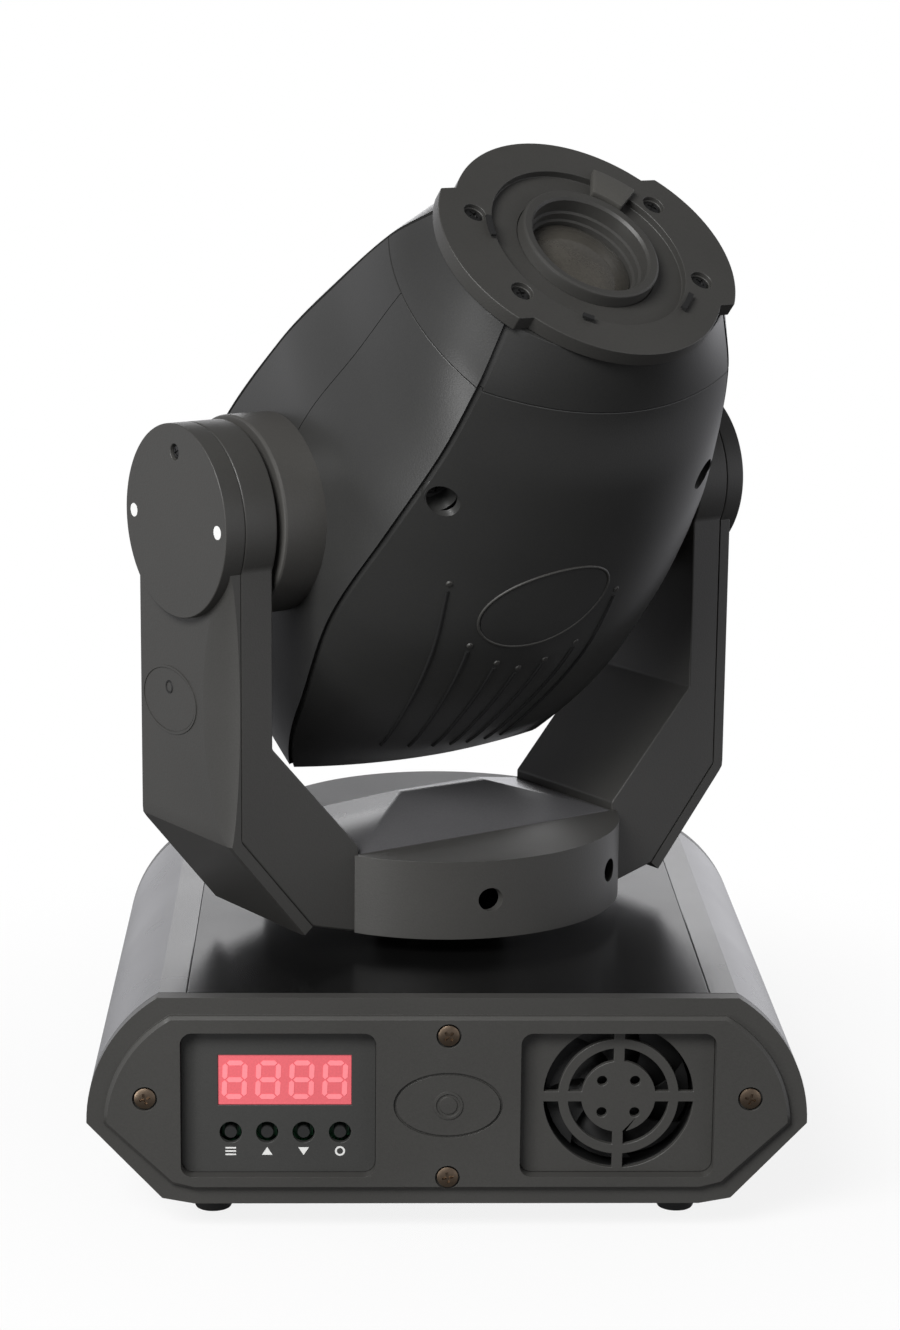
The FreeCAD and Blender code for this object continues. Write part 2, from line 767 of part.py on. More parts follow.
def fan(label, follows, axis, size, depth, bore, start, first, second):
    """An axial fan: a frame with a bearing pin and a rotor with seven blades."""
    half = size / 2
    spans = {
        "Y": ((first - half, first + half), (start, start + depth), (second - half, second + half)),
        "Z": ((first - half, first + half), (second - half, second + half), (start, start + depth)),
    }[axis]
    hub, pin = half * HUB_SHARE, d.fan_pin
    square = box(f"{label}_square", *spans)
    hole = rod(f"{label}_bore", axis, bore, start - 1, start + depth + 1, first, second)
    back = start + depth - d.fan_back
    boss = rod(f"{label}_boss", axis, hub, back, start + depth, first, second)
    shaft = rod(f"{label}_pin", axis, pin, start + d.fan_back, back, first, second)
    struts = []
    for i, angle in enumerate((45, 135)):
        strut = doc.addObject("Part::Box", f"{label}_strut_{i}")
        tie(strut, Length=bore * 2 + 2, Width=d.fan_strut, Height=d.fan_back)
        turn = FreeCAD.Rotation(DIRECTIONS["Z"], angle)
        offset = turn.multVec(V(-bore.value - 1, -d.fan_strut.value / 2, 0))
        spin = ROD_TURNS[axis] * turn
        shift = ROD_TURNS[axis].multVec(offset)
        spot = [size_of(part) for part in along(axis, back, first, second)]
        strut.Placement = FreeCAD.Placement(V(0, 0, 0), spin)
        turned = [(shift.x, "x"), (shift.y, "y"), (shift.z, "z")]
        for (amount, letter), origin in zip(turned, spot):
            strut.setExpression(f"Placement.Base.{letter}", (origin + amount).text)
        struts.append(strut)
    body = fuse(f"{label}_frame", cut(f"{label}_shell", square, hole), boss, shaft, *struts)
    sub_part(body, f"{label}_frame", follows)
    tip = bore - d.fan_tip_gap
    rotor_end = back - d.fan_tip_gap / 2
    pieces = [tube(f"{label}_hub", axis, hub, pin + d.running, start + d.fan_back, rotor_end, first, second)]
    blade_span = tip - hub + d.blade_root
    for i in range(BLADES):
        blade = doc.addObject("Part::Box", f"{label}_blade_{i}")
        tie(blade, Length=blade_span, Width=bore * BLADE_CHORD, Height=d.blade_thickness)
        turn = FreeCAD.Rotation(DIRECTIONS["Z"], i * 360 / BLADES)
        spin = turn * FreeCAD.Rotation(DIRECTIONS["X"], BLADE_PITCH)
        offset = turn.multVec(V(hub.value - d.blade_root.value, -bore.value * BLADE_LEAD, 0))
        shift = ROD_TURNS[axis].multVec(offset)
        blade.Placement = FreeCAD.Placement(V(0, 0, 0), ROD_TURNS[axis] * spin)
        spot = [size_of(part) for part in along(axis, start + d.fan_strut, first, second)]
        for amount, letter, origin in zip((shift.x, shift.y, shift.z), "xyz", spot):
            blade.setExpression(f"Placement.Base.{letter}", (origin + amount).text)
        pieces.append(blade)
    raw = fuse(f"{label}_wheel", *pieces)
    keep = tube(f"{label}_sweep", axis, tip, pin + d.running, start + d.fan_tip_gap, rotor_end, first, second)
    sub_part(common(f"{label}_rotor", raw, keep), f"{label}_rotor", follows)


def screws(name, axis, places, head_low, head_high, tip_low, tip_high, head_radius=None):
    """A group of like screws: a head and a shank at each place."""
    radius = head_radius or d.screw_head
    pieces = []
    for i, (first, second) in enumerate(places):
        head = rod(f"{name}_head_{i}", axis, radius, head_low, head_high, first, second)
        shank = rod(f"{name}_shank_{i}", axis, d.screw_shank, tip_low, tip_high, first, second)
        pieces.append(fuse(f"{name}_{i}", head, shank))
    return pieces


def base_screws():
    """The screws of both end panels."""
    sink = FRONT + d.screw_sink
    front = screws("front_screw", "Y", bezel_screws(), sink - d.screw_high, sink, sink, INNER_FRONT)
    sink = REAR - d.screw_sink
    rear = screws("rear_screw", "Y", bezel_screws(), sink, sink + d.screw_high, INNER_REAR, sink)
    return fuse("base_screws", *front, *rear)


def rubber_feet():
    """Four round feet under the floor."""
    feet = []
    for i in (-1, 1):
        for j in (-1, 1):
            foot = doc.addObject("Part::Cone", f"foot_{i + 1}_{j + 1}")
            place(foot, i * d.foot_across / 2, j * d.foot_along / 2, 0)
            feet.append(tie(foot, Radius1=d.foot_radius - d.foot_taper, Radius2=d.foot_radius,
                            Height=d.foot_height))
    return fuse("rubber_feet", *feet)


DMX = {"dmx_input_socket": d.dmx_x - d.dmx_pitch / 2, "dmx_output_socket": d.dmx_x + d.dmx_pitch / 2}


def rear_panel():
    """The rear panel with the holes for its sockets."""
    body, tools = end_panel("rear", REAR, -1)
    gap = d.panel_gap
    tools.append(box("inlet_hole", (-d.inlet_x - d.inlet_wide / 2 - gap, -d.inlet_x + d.inlet_wide / 2 + gap),
                     (INNER_REAR - 1, REAR + 1),
                     (d.socket_height - d.inlet_high / 2 - gap, d.socket_height + d.inlet_high / 2 + gap)))
    for name, x in DMX.items():
        tools.append(rod(f"{name}_hole", "Y", d.dmx_radius + gap, INNER_REAR - 1, REAR + 1, x, d.socket_height))
    return cut("rear_panel", body, *tools)


def centred(x, z, wide, high):
    """Limits of a rectangle about a point."""
    return x - wide / 2, x + wide / 2, z - high / 2, z + high / 2


def power_inlet():
    """A three-blade power inlet with its flange outside the panel."""
    x, z = -d.inlet_x, d.socket_height
    face = REAR + d.socket_flange
    floor = face - d.inlet_mouth_deep
    left, right, low, high = centred(x, z, d.inlet_wide, d.inlet_high)
    body = box("inlet_body", (left, right), (REAR - d.inlet_deep, REAR + 1), (low, high))
    flange = prism("inlet_flange", "Y", rounded(*centred(x, z, d.inlet_flange_wide, d.inlet_flange_high),
                                                d.inlet_corner), REAR, face)
    cavity = prism("inlet_cavity", "Y", rounded(*centred(x, z, d.inlet_mouth_wide, d.inlet_mouth_high),
                                                d.inlet_mouth_corner), floor, face + 1)
    shell = cut("inlet_shell", fuse("inlet_case", body, flange), cavity)
    blades = []
    for i, rise in ((-1, -d.inlet_earth_rise), (0, d.inlet_earth_rise), (1, -d.inlet_earth_rise)):
        left, right, low, high = centred(x + i * d.inlet_blade_pitch, z + rise, d.inlet_blade_wide,
                                         d.inlet_blade_high)
        blades.append(box(f"inlet_blade_{i + 1}", (left, right), (floor - 1, floor + d.inlet_blade_long),
                          (low, high)))
    return fuse("power_inlet", shell, *blades)


def dmx_socket(name, x, pins):
    """A three-pole round data socket: pins in a cup, or holes in a plug of plastic."""
    z = d.socket_height
    face = REAR + d.socket_flange
    floor = REAR - d.dmx_deep
    body = rod(f"{name}_body", "Y", d.dmx_radius, REAR - d.dmx_body, REAR + 1, x, z)
    flange = prism(f"{name}_flange", "Y", rounded(*centred(x, z, d.dmx_flange_wide, d.dmx_flange_high),
                                                  d.dmx_corner), REAR, face)
    case = fuse(f"{name}_case", body, flange)
    turns = [math.radians(angle) for angle in (30, 150, 270)]
    spots = [(x + d.dmx_circle * math.cos(turn), z + d.dmx_circle * math.sin(turn)) for turn in turns]
    if not pins:
        holes = [rod(f"{name}_contact_{i}", "Y", d.dmx_contact, floor, face + 1, across, up)
                 for i, (across, up) in enumerate(spots)]
        return cut(name, case, *holes)
    cup = cut(f"{name}_cup", case, rod(f"{name}_cavity", "Y", d.dmx_cup, floor, face + 1, x, z))
    poles = [rod(f"{name}_pole_{i}", "Y", d.dmx_pin, floor - 1, floor - 1 + d.dmx_pin_long, across, up)
             for i, (across, up) in enumerate(spots)]
    return fuse(name, cup, *poles)


def power_supply():
    """The supply's case on the floor, with a row of terminals."""
    case = box("supply_case", (-d.supply_left, -d.supply_right), (0, d.supply_long),
               (FLOOR, FLOOR + d.supply_high))
    terminals = []
    for i in range(5):
        start = d.terminal_first + d.terminal_pitch * i
        terminals.append(box(f"supply_terminal_{i}", (-d.supply_right, -d.supply_right + d.terminal_deep),
                             (start, start + d.terminal_width), (FLOOR, FLOOR + d.terminal_high)))
    return fuse("power_supply", case, *terminals)


# ---------------------------------------------------------------- pan drive

BEARING_TOP = d.base_top - d.wall
BEARING_LOW = BEARING_TOP - d.bearing_depth
PAN_PULLEY_TOP = BEARING_LOW - 1
PAN_PULLEY_LOW = PAN_PULLEY_TOP - d.pulley_width - 2 * d.flange_width


def pulley(name, axis, radius, bore, start, width, first=0, second=0):
    """A belt wheel with a lip on each side."""
    end = start + width + 2 * d.flange_width
    pieces = [
        rod(f"{name}_wheel", axis, radius, start, end, first, second),
        rod(f"{name}_lip_near", axis, radius + d.flange_lip, start, start + d.flange_width, first, second),
        rod(f"{name}_lip_far", axis, radius + d.flange_lip, end - d.flange_width, end, first, second),
    ]
    hole = rod(f"{name}_hole", axis, bore, start - 1, end + 1, first, second)
    return cut(name, fuse(f"{name}_body", *pieces), hole)


def belt(name, axis, big, small, centres, start, end, thickness):
    """A flat belt round two wheels: the first at the origin, the second down the second cross axis."""
    def loop(suffix, grow):
        large, little = big + grow, small + grow
        lean = (large - little) / centres
        side = root(1 - lean * lean)
        near = -(large * lean) * centres_sign
        far = along_far - little * lean * centres_sign
        corners = [(large * side, near), (little * side, far), (-(little * side), far), (-(large * side), near)]
        shifted = [(x + first_shift, y + second_shift) for x, y in corners]
        return fuse(
            f"{name}_{suffix}",
            rod(f"{name}_{suffix}_large", axis, large, start, end, first_shift, second_shift),
            rod(f"{name}_{suffix}_small", axis, little, start, end, first_shift, second_shift + along_far),
            prism(f"{name}_{suffix}_span", axis, shifted, start, end),
        )
    centres_sign = -1 if axis == "Z" else 1
    along_far = centres if axis == "Z" else -centres
    first_shift = size_of(0)
    second_shift = size_of(0) if axis == "Z" else d.tilt_height
    return cut(name, loop("outer", d.loose + thickness), loop("inner", d.loose))


def pan_drive():
    """Bearing, spindle, wheels, belt and motor of the pan axis."""
    sub_part(tube("pan_bearing", "Z", d.bearing_radius, d.spindle_radius + d.running, BEARING_LOW, BEARING_TOP),
             "pan_bearing")
    floor = d.drum_low + d.wall
    spindle_top = floor + d.spindle_flange
    spindle = fuse("spindle_solid", rod("spindle_stem", "Z", d.spindle_radius, PAN_PULLEY_LOW, spindle_top),
                   rod("spindle_flange", "Z", d.bearing_radius, floor, spindle_top))
    hole = rod("spindle_hole", "Z", d.spindle_bore, PAN_PULLEY_LOW - 1, spindle_top + 1)
    sub_part(cut("pan_spindle", spindle, hole), "pan_spindle", YOKE)
    sub_part(pulley("pan_pulley", "Z", d.pulley_radius, d.spindle_radius, PAN_PULLEY_LOW, d.pulley_width),
             "pan_pulley", YOKE)
    y = d.pan_motor_y
    half = d.pan_motor_size / 2
    rim = d.pan_deck_rim
    deck = PAN_PULLEY_LOW - d.pan_deck_gap
    case_top = deck - d.pan_deck
    motor = box("pan_motor_case", (-half, half), (y - half, y + half),
                (case_top - d.pan_motor_length, case_top))
    bracket = box("pan_motor_deck", (-half - rim, half + rim), (y - half, y + half + rim * 2), (case_top, deck))
    shaft = rod("pan_motor_shaft", "Z", d.pan_motor_shaft, deck, PAN_PULLEY_TOP, 0, y)
    posts = [rod(f"pan_motor_post_{i}_{j}", "Z", d.pan_post, deck, BEARING_TOP,
                 i * (half - rim), y + j * (half - rim)) for i in (-1, 1) for j in (-0.45, 1)]
    sub_part(fuse("pan_motor", motor, bracket, shaft, *posts), "pan_motor")
    sub_part(pulley("pan_pinion", "Z", d.pinion_radius, d.pan_motor_shaft + d.running, PAN_PULLEY_LOW,
                    d.pulley_width, 0, y), "pan_pinion")
    low = PAN_PULLEY_LOW + d.flange_width + 1
    sub_part(belt("pan_belt", "Z", d.pulley_radius, d.pinion_radius, y, low, low + d.pulley_width - 2,
                  d.belt_thickness), "pan_belt")


# ---------------------------------------------------------------- yoke

ARM_HALF = d.arm_depth / 2
PARTING = d.arm_outer - d.cover_thickness
BEARING_OUT = d.arm_inner + d.tilt_bearing_depth
CAP_SCREW_HEIGHT = d.tilt_height + d.cap_screw_up
CAP_SCREW_SEAT = d.cap_face - d.cap_screw_sink
SLOPE = root((d.arm_outer - d.heel_x) * (d.arm_outer - d.heel_x)
             + (d.outer_bend - d.heel_z) * (d.outer_bend - d.heel_z))
SLOPE_X = (d.outer_bend - d.heel_z) / SLOPE
SLOPE_Z = (d.arm_outer - d.heel_x) / SLOPE


def arm_line(inset):
    """The arm's outer line from the tilt axis to the heel, set in by an amount."""
    inset = size_of(inset)
    return [
        (d.arm_outer - inset, d.tilt_height),
        (d.arm_outer - inset, d.outer_bend + inset * 0.36),
        (d.heel_x - inset * SLOPE_X, d.heel_z + inset * SLOPE_Z),
    ]


def arm_hollow_line():
    """The inside of the arm's inner wall, from the tilt axis down to the root."""
    slant = d.wall * 1.35
    return [
        (d.arm_inner + d.wall, d.tilt_height),
        (d.arm_inner + d.wall, d.inner_bend - d.wall * 0.2),
        (d.arm_root + slant, d.inner_foot - d.wall * 0.2),
        (d.arm_root + slant, d.drum_low + d.wall + 1),
        (d.heel_x - d.cover_thickness * SLOPE_X - d.wall,
         d.heel_z + d.cover_thickness * SLOPE_Z + d.wall * 0.6),
    ]


def x_span(low, high, side):
    """A span drawn for the right-hand side, or turned over for the left."""
    return (low, high) if side > 0 else (-size_of(high), -size_of(low))


def arm(name, side):
    """One arm: a frame open to the outside, its cover and its round cap. Both covers are one
    moulding, turned half round the pan axis for the other arm."""
    inner = [
        (d.arm_root, d.drum_low), (d.arm_root, d.inner_foot),
        (d.arm_inner, d.inner_bend), (d.arm_inner, d.tilt_height),
    ]
    frame_corners = arm_line(d.cover_thickness) + inner
    trunk = prism(f"{name}_trunk", "Y", mirrored(frame_corners, side), -ARM_HALF, ARM_HALF)
    drum = rod(f"{name}_drum", "X", d.cap_radius, *x_span(d.arm_inner, PARTING, side), 0, d.tilt_height)
    hollow_corners = [(PARTING + 1, d.tilt_height), (PARTING + 1, d.outer_bend + 2)] + [
        (d.heel_x - d.cover_thickness * SLOPE_X, d.heel_z + d.cover_thickness * SLOPE_Z + d.wall)
    ] + list(reversed(arm_hollow_line()[:4]))
    hollow = prism(f"{name}_hollow", "Y", mirrored(hollow_corners, side), -ARM_HALF + d.wall, ARM_HALF - d.wall)
    pocket = rod(f"{name}_pocket", "X", d.cap_radius - d.wall,
                 *x_span(d.arm_inner + d.wall, PARTING + 1, side), 0, d.tilt_height)
    boss = rod(f"{name}_boss", "X", d.tilt_bearing_radius + d.tilt_boss_wall,
               *x_span(d.arm_inner, BEARING_OUT, side), 0, d.tilt_height)
    bore = rod(f"{name}_bore", "X", d.tilt_bearing_radius, *x_span(d.arm_inner - 1, BEARING_OUT + 1, side),
               0, d.tilt_height)
    shell = cut(f"{name}_shell", fuse(f"{name}_solid", trunk, drum), hollow, pocket)
    sub_part(cut(f"{name}_frame", fuse(f"{name}_bossed", shell, boss), bore), f"{name}_frame", YOKE)

    line = arm_line(d.cover_thickness)
    cover_corners = arm_line(0) + list(reversed(line))
    slab = prism(f"{name}_slab", "Y", mirrored(cover_corners, side), -ARM_HALF, ARM_HALF)
    seat = rod(f"{name}_seat", "X", d.cap_radius + d.panel_gap, *x_span(PARTING - 1, d.cap_face + 1, side),
               0, d.tilt_height)
    low, high = (d.arm_outer - d.emblem_groove, d.arm_outer + 1)
    start = x_span(low, high, side)[0]
    badge = emblem(f"{name}_emblem", "X", (-side * d.arm_emblem_y, d.tilt_height - d.arm_emblem_drop), start,
                   d.emblem_groove + 1)
    sub_part(cut(f"{name}_cover", slab, seat, badge), f"{name}_cover", YOKE)

    disc = rod(f"{name}_disc", "X", d.cap_radius, *x_span(PARTING, d.cap_face, side), 0, d.tilt_height)
    well = rod(f"{name}_well", "X", d.cap_radius - d.wall, *x_span(PARTING - 1, d.cap_face - d.wall, side),
               0, d.tilt_height)
    sink = rod(f"{name}_sink", "X", d.cap_screw_well, *x_span(CAP_SCREW_SEAT, d.cap_face + 1, side),
               0, CAP_SCREW_HEIGHT)
    thread = rod(f"{name}_thread", "X", d.screw_shank, *x_span(PARTING - 1, d.cap_face, side),
                 0, CAP_SCREW_HEIGHT)
    sub_part(cut(f"{name}_cap", disc, well, sink, thread), f"{name}_cap", YOKE)


def rectangle(half_x, half_y):
    """Corners of a rectangle about the origin."""
    return [(-half_x, -half_y), (half_x, -half_y), (half_x, half_y), (-half_x, half_y)]


def yoke():
    """Drum, bridge, arms and their screws."""
    cup = rod("drum_solid", "Z", d.drum_radius, d.drum_low, d.drum_high)
    neck = rod("drum_neck", "Z", d.neck_radius, d.base_top + d.neck_gap, d.drum_low)
    inside = rod("drum_inside", "Z", d.drum_radius - d.wall, d.drum_low + d.wall, d.drum_high - d.wall)
    sides = [box(f"drum_side_{side}", x_span(d.arm_root, d.drum_radius + 5, side), (-ARM_HALF, ARM_HALF),
                 (d.drum_low - 1, d.drum_high + 1)) for side in (-1, 1)]
    mouth_x, mouth_y = d.arm_root - d.drum_mouth_rim, ARM_HALF - d.drum_mouth_rim
    mouth = box("drum_mouth", (-mouth_x, mouth_x), (-mouth_y, mouth_y),
                (d.drum_high - d.wall - 1, d.drum_high + 1))
    bore = rod("drum_bore", "Z", d.spindle_radius, d.base_top, d.drum_low + d.wall + 1)
    doors = [rod(f"drum_door_{i}", "Y", d.drum_door, -d.drum_radius - 1, 0, x, (d.drum_low + d.drum_high) / 2)
             for i, x in enumerate((-d.drum_door_left, d.drum_door_right))]
    drum = cut("yoke_drum", fuse("drum_body", cup, neck), inside, mouth, bore, *sides, *doors)
    sub_part(drum, "yoke_drum", YOKE)

    low = outline("bridge_low", "Z", rectangle(d.arm_root, ARM_HALF), d.drum_high)
    high = outline("bridge_high", "Z", rectangle(d.bridge_ridge, d.bridge_ridge_half),
                   d.drum_high + d.bridge_rise)
    roof = doc.addObject("Part::Loft", "bridge_roof")
    roof.Sections = [low, high]
    roof.Solid = True
    roof.Ruled = True
    hollow = box("bridge_hollow", (-d.bridge_ridge, d.bridge_ridge), (-d.bridge_hollow, d.bridge_hollow),
                 (d.drum_high - 1, d.drum_high + d.bridge_hollow_high))
    sub_part(cut("yoke_bridge_cover", roof, hollow), "yoke_bridge_cover", YOKE)

    for name, side in (("arm_left", -1), ("arm_right", 1)):
        arm(name, side)
    pieces = []
    for side in (-1, 1):
        head = x_span(CAP_SCREW_SEAT, CAP_SCREW_SEAT + d.cap_screw_high, side)
        tip = x_span(CAP_SCREW_SEAT - d.wall - d.cap_screw_long, CAP_SCREW_SEAT, side)
        pieces.append(screws(f"cap_screw_{side + 1}", "X", [(size_of(0), CAP_SCREW_HEIGHT)], *head, *tip,
                             head_radius=d.cap_screw_head)[0])
    sub_part(fuse("arm_screws", *pieces), "arm_screws", YOKE)


def tilt_drive():
    """Bearings, belt, motor and pinion of the tilt axis, in the left arm."""
    rings = [tube(f"tilt_bearing_{side + 1}", "X", d.tilt_bearing_radius, d.spindle_radius + d.running,
                  *x_span(d.arm_inner, BEARING_OUT, side), 0, d.tilt_height) for side in (-1, 1)]
    sub_part(fuse("tilt_bearings", *rings), "tilt_bearings", YOKE)
    z = d.tilt_pinion_height
    face = -(d.arm_inner + d.tilt_motor_in)
    case = rod("tilt_motor_case", "X", d.tilt_motor_radius, face, face + d.tilt_motor_length, 0, z)
    flange = box("tilt_motor_flange", (face, face + d.tilt_motor_flange),
                 (-ARM_HALF + d.wall, ARM_HALF - d.wall), (z - d.tilt_motor_half, z + d.tilt_motor_half))
    shaft = rod("tilt_motor_shaft", "X", d.tilt_motor_shaft, -(PARTING - 1), face, 0, z)
    sub_part(fuse("tilt_motor", case, flange, shaft), "tilt_motor", YOKE)
    start = -(d.tilt_pulley_in + d.tilt_pulley_width)
    sub_part(tube("tilt_pinion", "X", d.tilt_pinion_radius, d.tilt_motor_shaft + d.running, start,
                  -d.tilt_pulley_in, 0, z), "tilt_pinion", YOKE)
    sub_part(belt("tilt_belt", "X", d.tilt_pulley_radius, d.tilt_pinion_radius, d.tilt_height - z,
                  start + d.tilt_belt_edge, -d.tilt_pulley_in - d.tilt_belt_edge, d.tilt_belt_thickness),
             "tilt_belt", YOKE)


# ---------------------------------------------------------------- head

def station(number, inset):
    """One cross-section of the head: two wide arcs above and below, and two flat ones at the cheeks."""
    def read(word):
        return getattr(d, f"station_{number}_{word}")
    a, b = read("corner_x") - inset, read("corner_y") - inset * 0.8
    apex, cheek = read("apex") - inset, read("cheek") - inset
    rise, bulge = apex - b, cheek - a
    wide = (a * a + rise * rise) / (2 * rise)
    flat = (b * b + bulge * bulge) / (2 * bulge)
    low, high = -b - read("drop"), b - read("drop")
    corners = [(a, low, wide), (a, high, flat), (-a, high, wide), (-a, low, flat)]
    return outline(f"station_{number}_{'inner' if inset.value else 'outer'}", "Z", corners, read("place"))


def head_form(name, inset):
    """The head's whole form, or its hollow, as a loft through the stations."""
    form = doc.addObject("Part::Loft", name)
    form.Sections = [station(number, inset) for number in range(len(STATIONS))]
    form.Solid = True
    return form


def head():
    """Shells, nose, plate, cap, hubs and what they hold."""
    outer = head_form("head_outer", size_of(0))
    inner = head_form("head_inner", d.shell_wall)
    top = d.station_7_place
    back = d.station_0_place
    wide = size_of(120)
    hubs = fuse("hub_holes", *[
        rod(f"hub_hole_{side + 1}", "X", d.hub_radius + d.panel_gap, *x_span(60, 110, side), 0, 0)
        for side in (-1, 1)])
    posts = common("shell_posts", inner, fuse("shell_post_rods", *[
        rod(f"shell_post_{side + 1}", "Y", d.shell_sink + 3, -wide, -d.shell_screw_y + 10,
            side * d.shell_screw_x, d.shell_screw_z) for side in (-1, 1)]))
    shell = cut("head_wall", fuse("head_wall_posts", cut("head_skin", outer, inner), posts), hubs)
    sink = fuse("shell_sinks", *[
        rod(f"shell_sink_{side + 1}", "Y", d.shell_sink, -wide, -d.shell_screw_y,
            side * d.shell_screw_x, d.shell_screw_z) for side in (-1, 1)])
    spans = {
        "head_shell_upper": ((-wide, wide), (d.shell_split, wide), (d.rear_split, d.nose_split)),
        "head_shell_lower": ((-wide, wide), (-wide, d.shell_split), (d.rear_split, d.nose_split)),
        "nose_collar": ((-wide, wide), (-wide, wide), (d.nose_split, top)),
    }
    for label, span in spans.items():
        region = box(f"{label}_region", *span)
        if label == "head_shell_lower":
            thread_end = -d.shell_screw_y + d.shell_thread_long
            threads = fuse("shell_threads", *[
                rod(f"shell_thread_{side + 1}", "Y", d.screw_shank, -wide, thread_end,
                    side * d.shell_screw_x, d.shell_screw_z) for side in (-1, 1)])
            region = cut(f"{label}_sunk", region, sink, threads)
        sub_part(common(label, shell, region), label, HEAD)

    floor = back + d.shell_wall
    end = common("rear_form", outer, box("rear_region", (-wide, wide), (-wide, wide), (back - 1, d.rear_split)))
    room = common("rear_room", inner, box("rear_room_region", (-wide, wide), (-wide, wide),
                                          (floor, d.rear_split + 1)))
    reach, half = d.rear_slot_half, d.rear_slot_width / 2
    slots = [box(f"rear_slot_{i}", (-reach, reach), (i * d.rear_slot_pitch - half, i * d.rear_slot_pitch + half),
                 (back - 2, floor + 1)) for i in range(-2, 3)]
    sub_part(cut("rear_cap", end, room, *slots), "rear_cap", HEAD)

    disc = rod("plate_disc_solid", "Z", d.plate_disc, d.plate_back, d.plate_face)
    bulge = d.plate_wing - d.plate_ear_x
    curve = (d.plate_ear_y * d.plate_ear_y + bulge * bulge) / (2 * bulge)
    wings = prism("plate_wings", "Z", [
        (-d.plate_ear_x, -d.plate_ear_y, curve), (d.plate_ear_x, -d.plate_ear_y),
        (d.plate_ear_x, d.plate_ear_y, curve), (-d.plate_ear_x, d.plate_ear_y),
    ], d.plate_back, d.plate_face)
    guide_end = d.plate_back - d.guide_length
    guide = rod("lens_guide", "Z", d.lens_ring + d.guide_wall, guide_end, d.plate_back)
    bore = rod("lens_bore", "Z", d.lens_ring + d.running, guide_end - 1, d.plate_face + 1)
    recess = rod("plate_recess_tool", "Z", d.plate_recess, d.plate_face - d.plate_recess_depth,
                 d.plate_face + 1)
    spots = [(i * d.plate_screw_x, j * d.plate_screw_y) for i in (-1, 1) for j in (-1, 1)]
    sinks = [rod(f"plate_sink_{i}", "Z", d.screw_head, d.plate_face - d.screw_sink, d.plate_face + 1, x, y)
             for i, (x, y) in enumerate(spots)]
    holes = [rod(f"plate_hole_{i}", "Z", d.screw_shank + d.panel_gap, d.plate_back - 1, d.plate_face, x, y)
             for i, (x, y) in enumerate(spots)]
    sub_part(cut("front_plate", fuse("front_plate_body", disc, wings, guide), bore, recess, *sinks, *holes),
             "front_plate", HEAD)
    sunk = d.plate_face - d.screw_sink
    pieces = screws("plate_screw", "Z", spots, sunk, sunk + d.plate_screw_high,
                    d.plate_back - d.plate_screw_long, sunk, d.plate_screw_head)
    shell_spots = [(side * d.shell_screw_x, d.shell_screw_z) for side in (-1, 1)]
    pieces += screws("shell_screw", "Y", shell_spots, -d.shell_screw_y - d.screw_high, -d.shell_screw_y,
                     -d.shell_screw_y, -d.shell_screw_y + d.shell_thread_long)
    sub_part(fuse("head_screws", *pieces), "head_screws", HEAD)

    for name, side in (("tilt_hub_left", -1), ("tilt_hub_right", 1)):
        drum = rod(f"{name}_drum", "X", d.hub_radius, *x_span(d.hub_back, d.hub_face, side), 0, 0)
        well = rod(f"{name}_well", "X", d.hub_radius - d.wall,
                   *x_span(d.hub_back + d.wall, d.hub_face - d.wall, side), 0, 0)
        stem = rod(f"{name}_stem", "X", d.spindle_radius,
                   *x_span(d.hub_face, d.tilt_pulley_in + d.tilt_pulley_width + d.hub_stem_past, side), 0, 0)
        hole = rod(f"{name}_hole", "X", d.spindle_bore, *x_span(d.hub_back - 1, d.arm_outer, side), 0, 0)
        sub_part(cut(name, fuse(f"{name}_solid", drum, stem), well, hole), name, HEAD)
    start = -(d.tilt_pulley_in + d.tilt_pulley_width)
    sub_part(tube("tilt_pulley", "X", d.tilt_pulley_radius, d.spindle_radius, start, -d.tilt_pulley_in),
             "tilt_pulley", HEAD)
    optics()


def wheel(label, y, at, cutouts):
    """A wheel of filters or patterns on its motor's shaft."""
    disc = rod(f"{label}_disc", "Z", d.wheel_radius, at, at + d.wheel_thickness, 0, y)
    hole = rod(f"{label}_hole", "Z", d.wheel_shaft + d.running, at - 1, at + d.wheel_thickness + 1, 0, y)
    holes = []
    for i in range(cutouts):
        turn = math.radians(i * 360 / cutouts) + (math.pi / 2 if y.value < 0 else -math.pi / 2)
        holes.append(rod(f"{label}_port_{i}", "Z", d.filter_radius, at - 1, at + d.wheel_thickness + 1,
                         d.wheel_offset * math.cos(turn), y + d.wheel_offset * math.sin(turn)))
    sub_part(cut(label, disc, hole, *holes), label, HEAD)


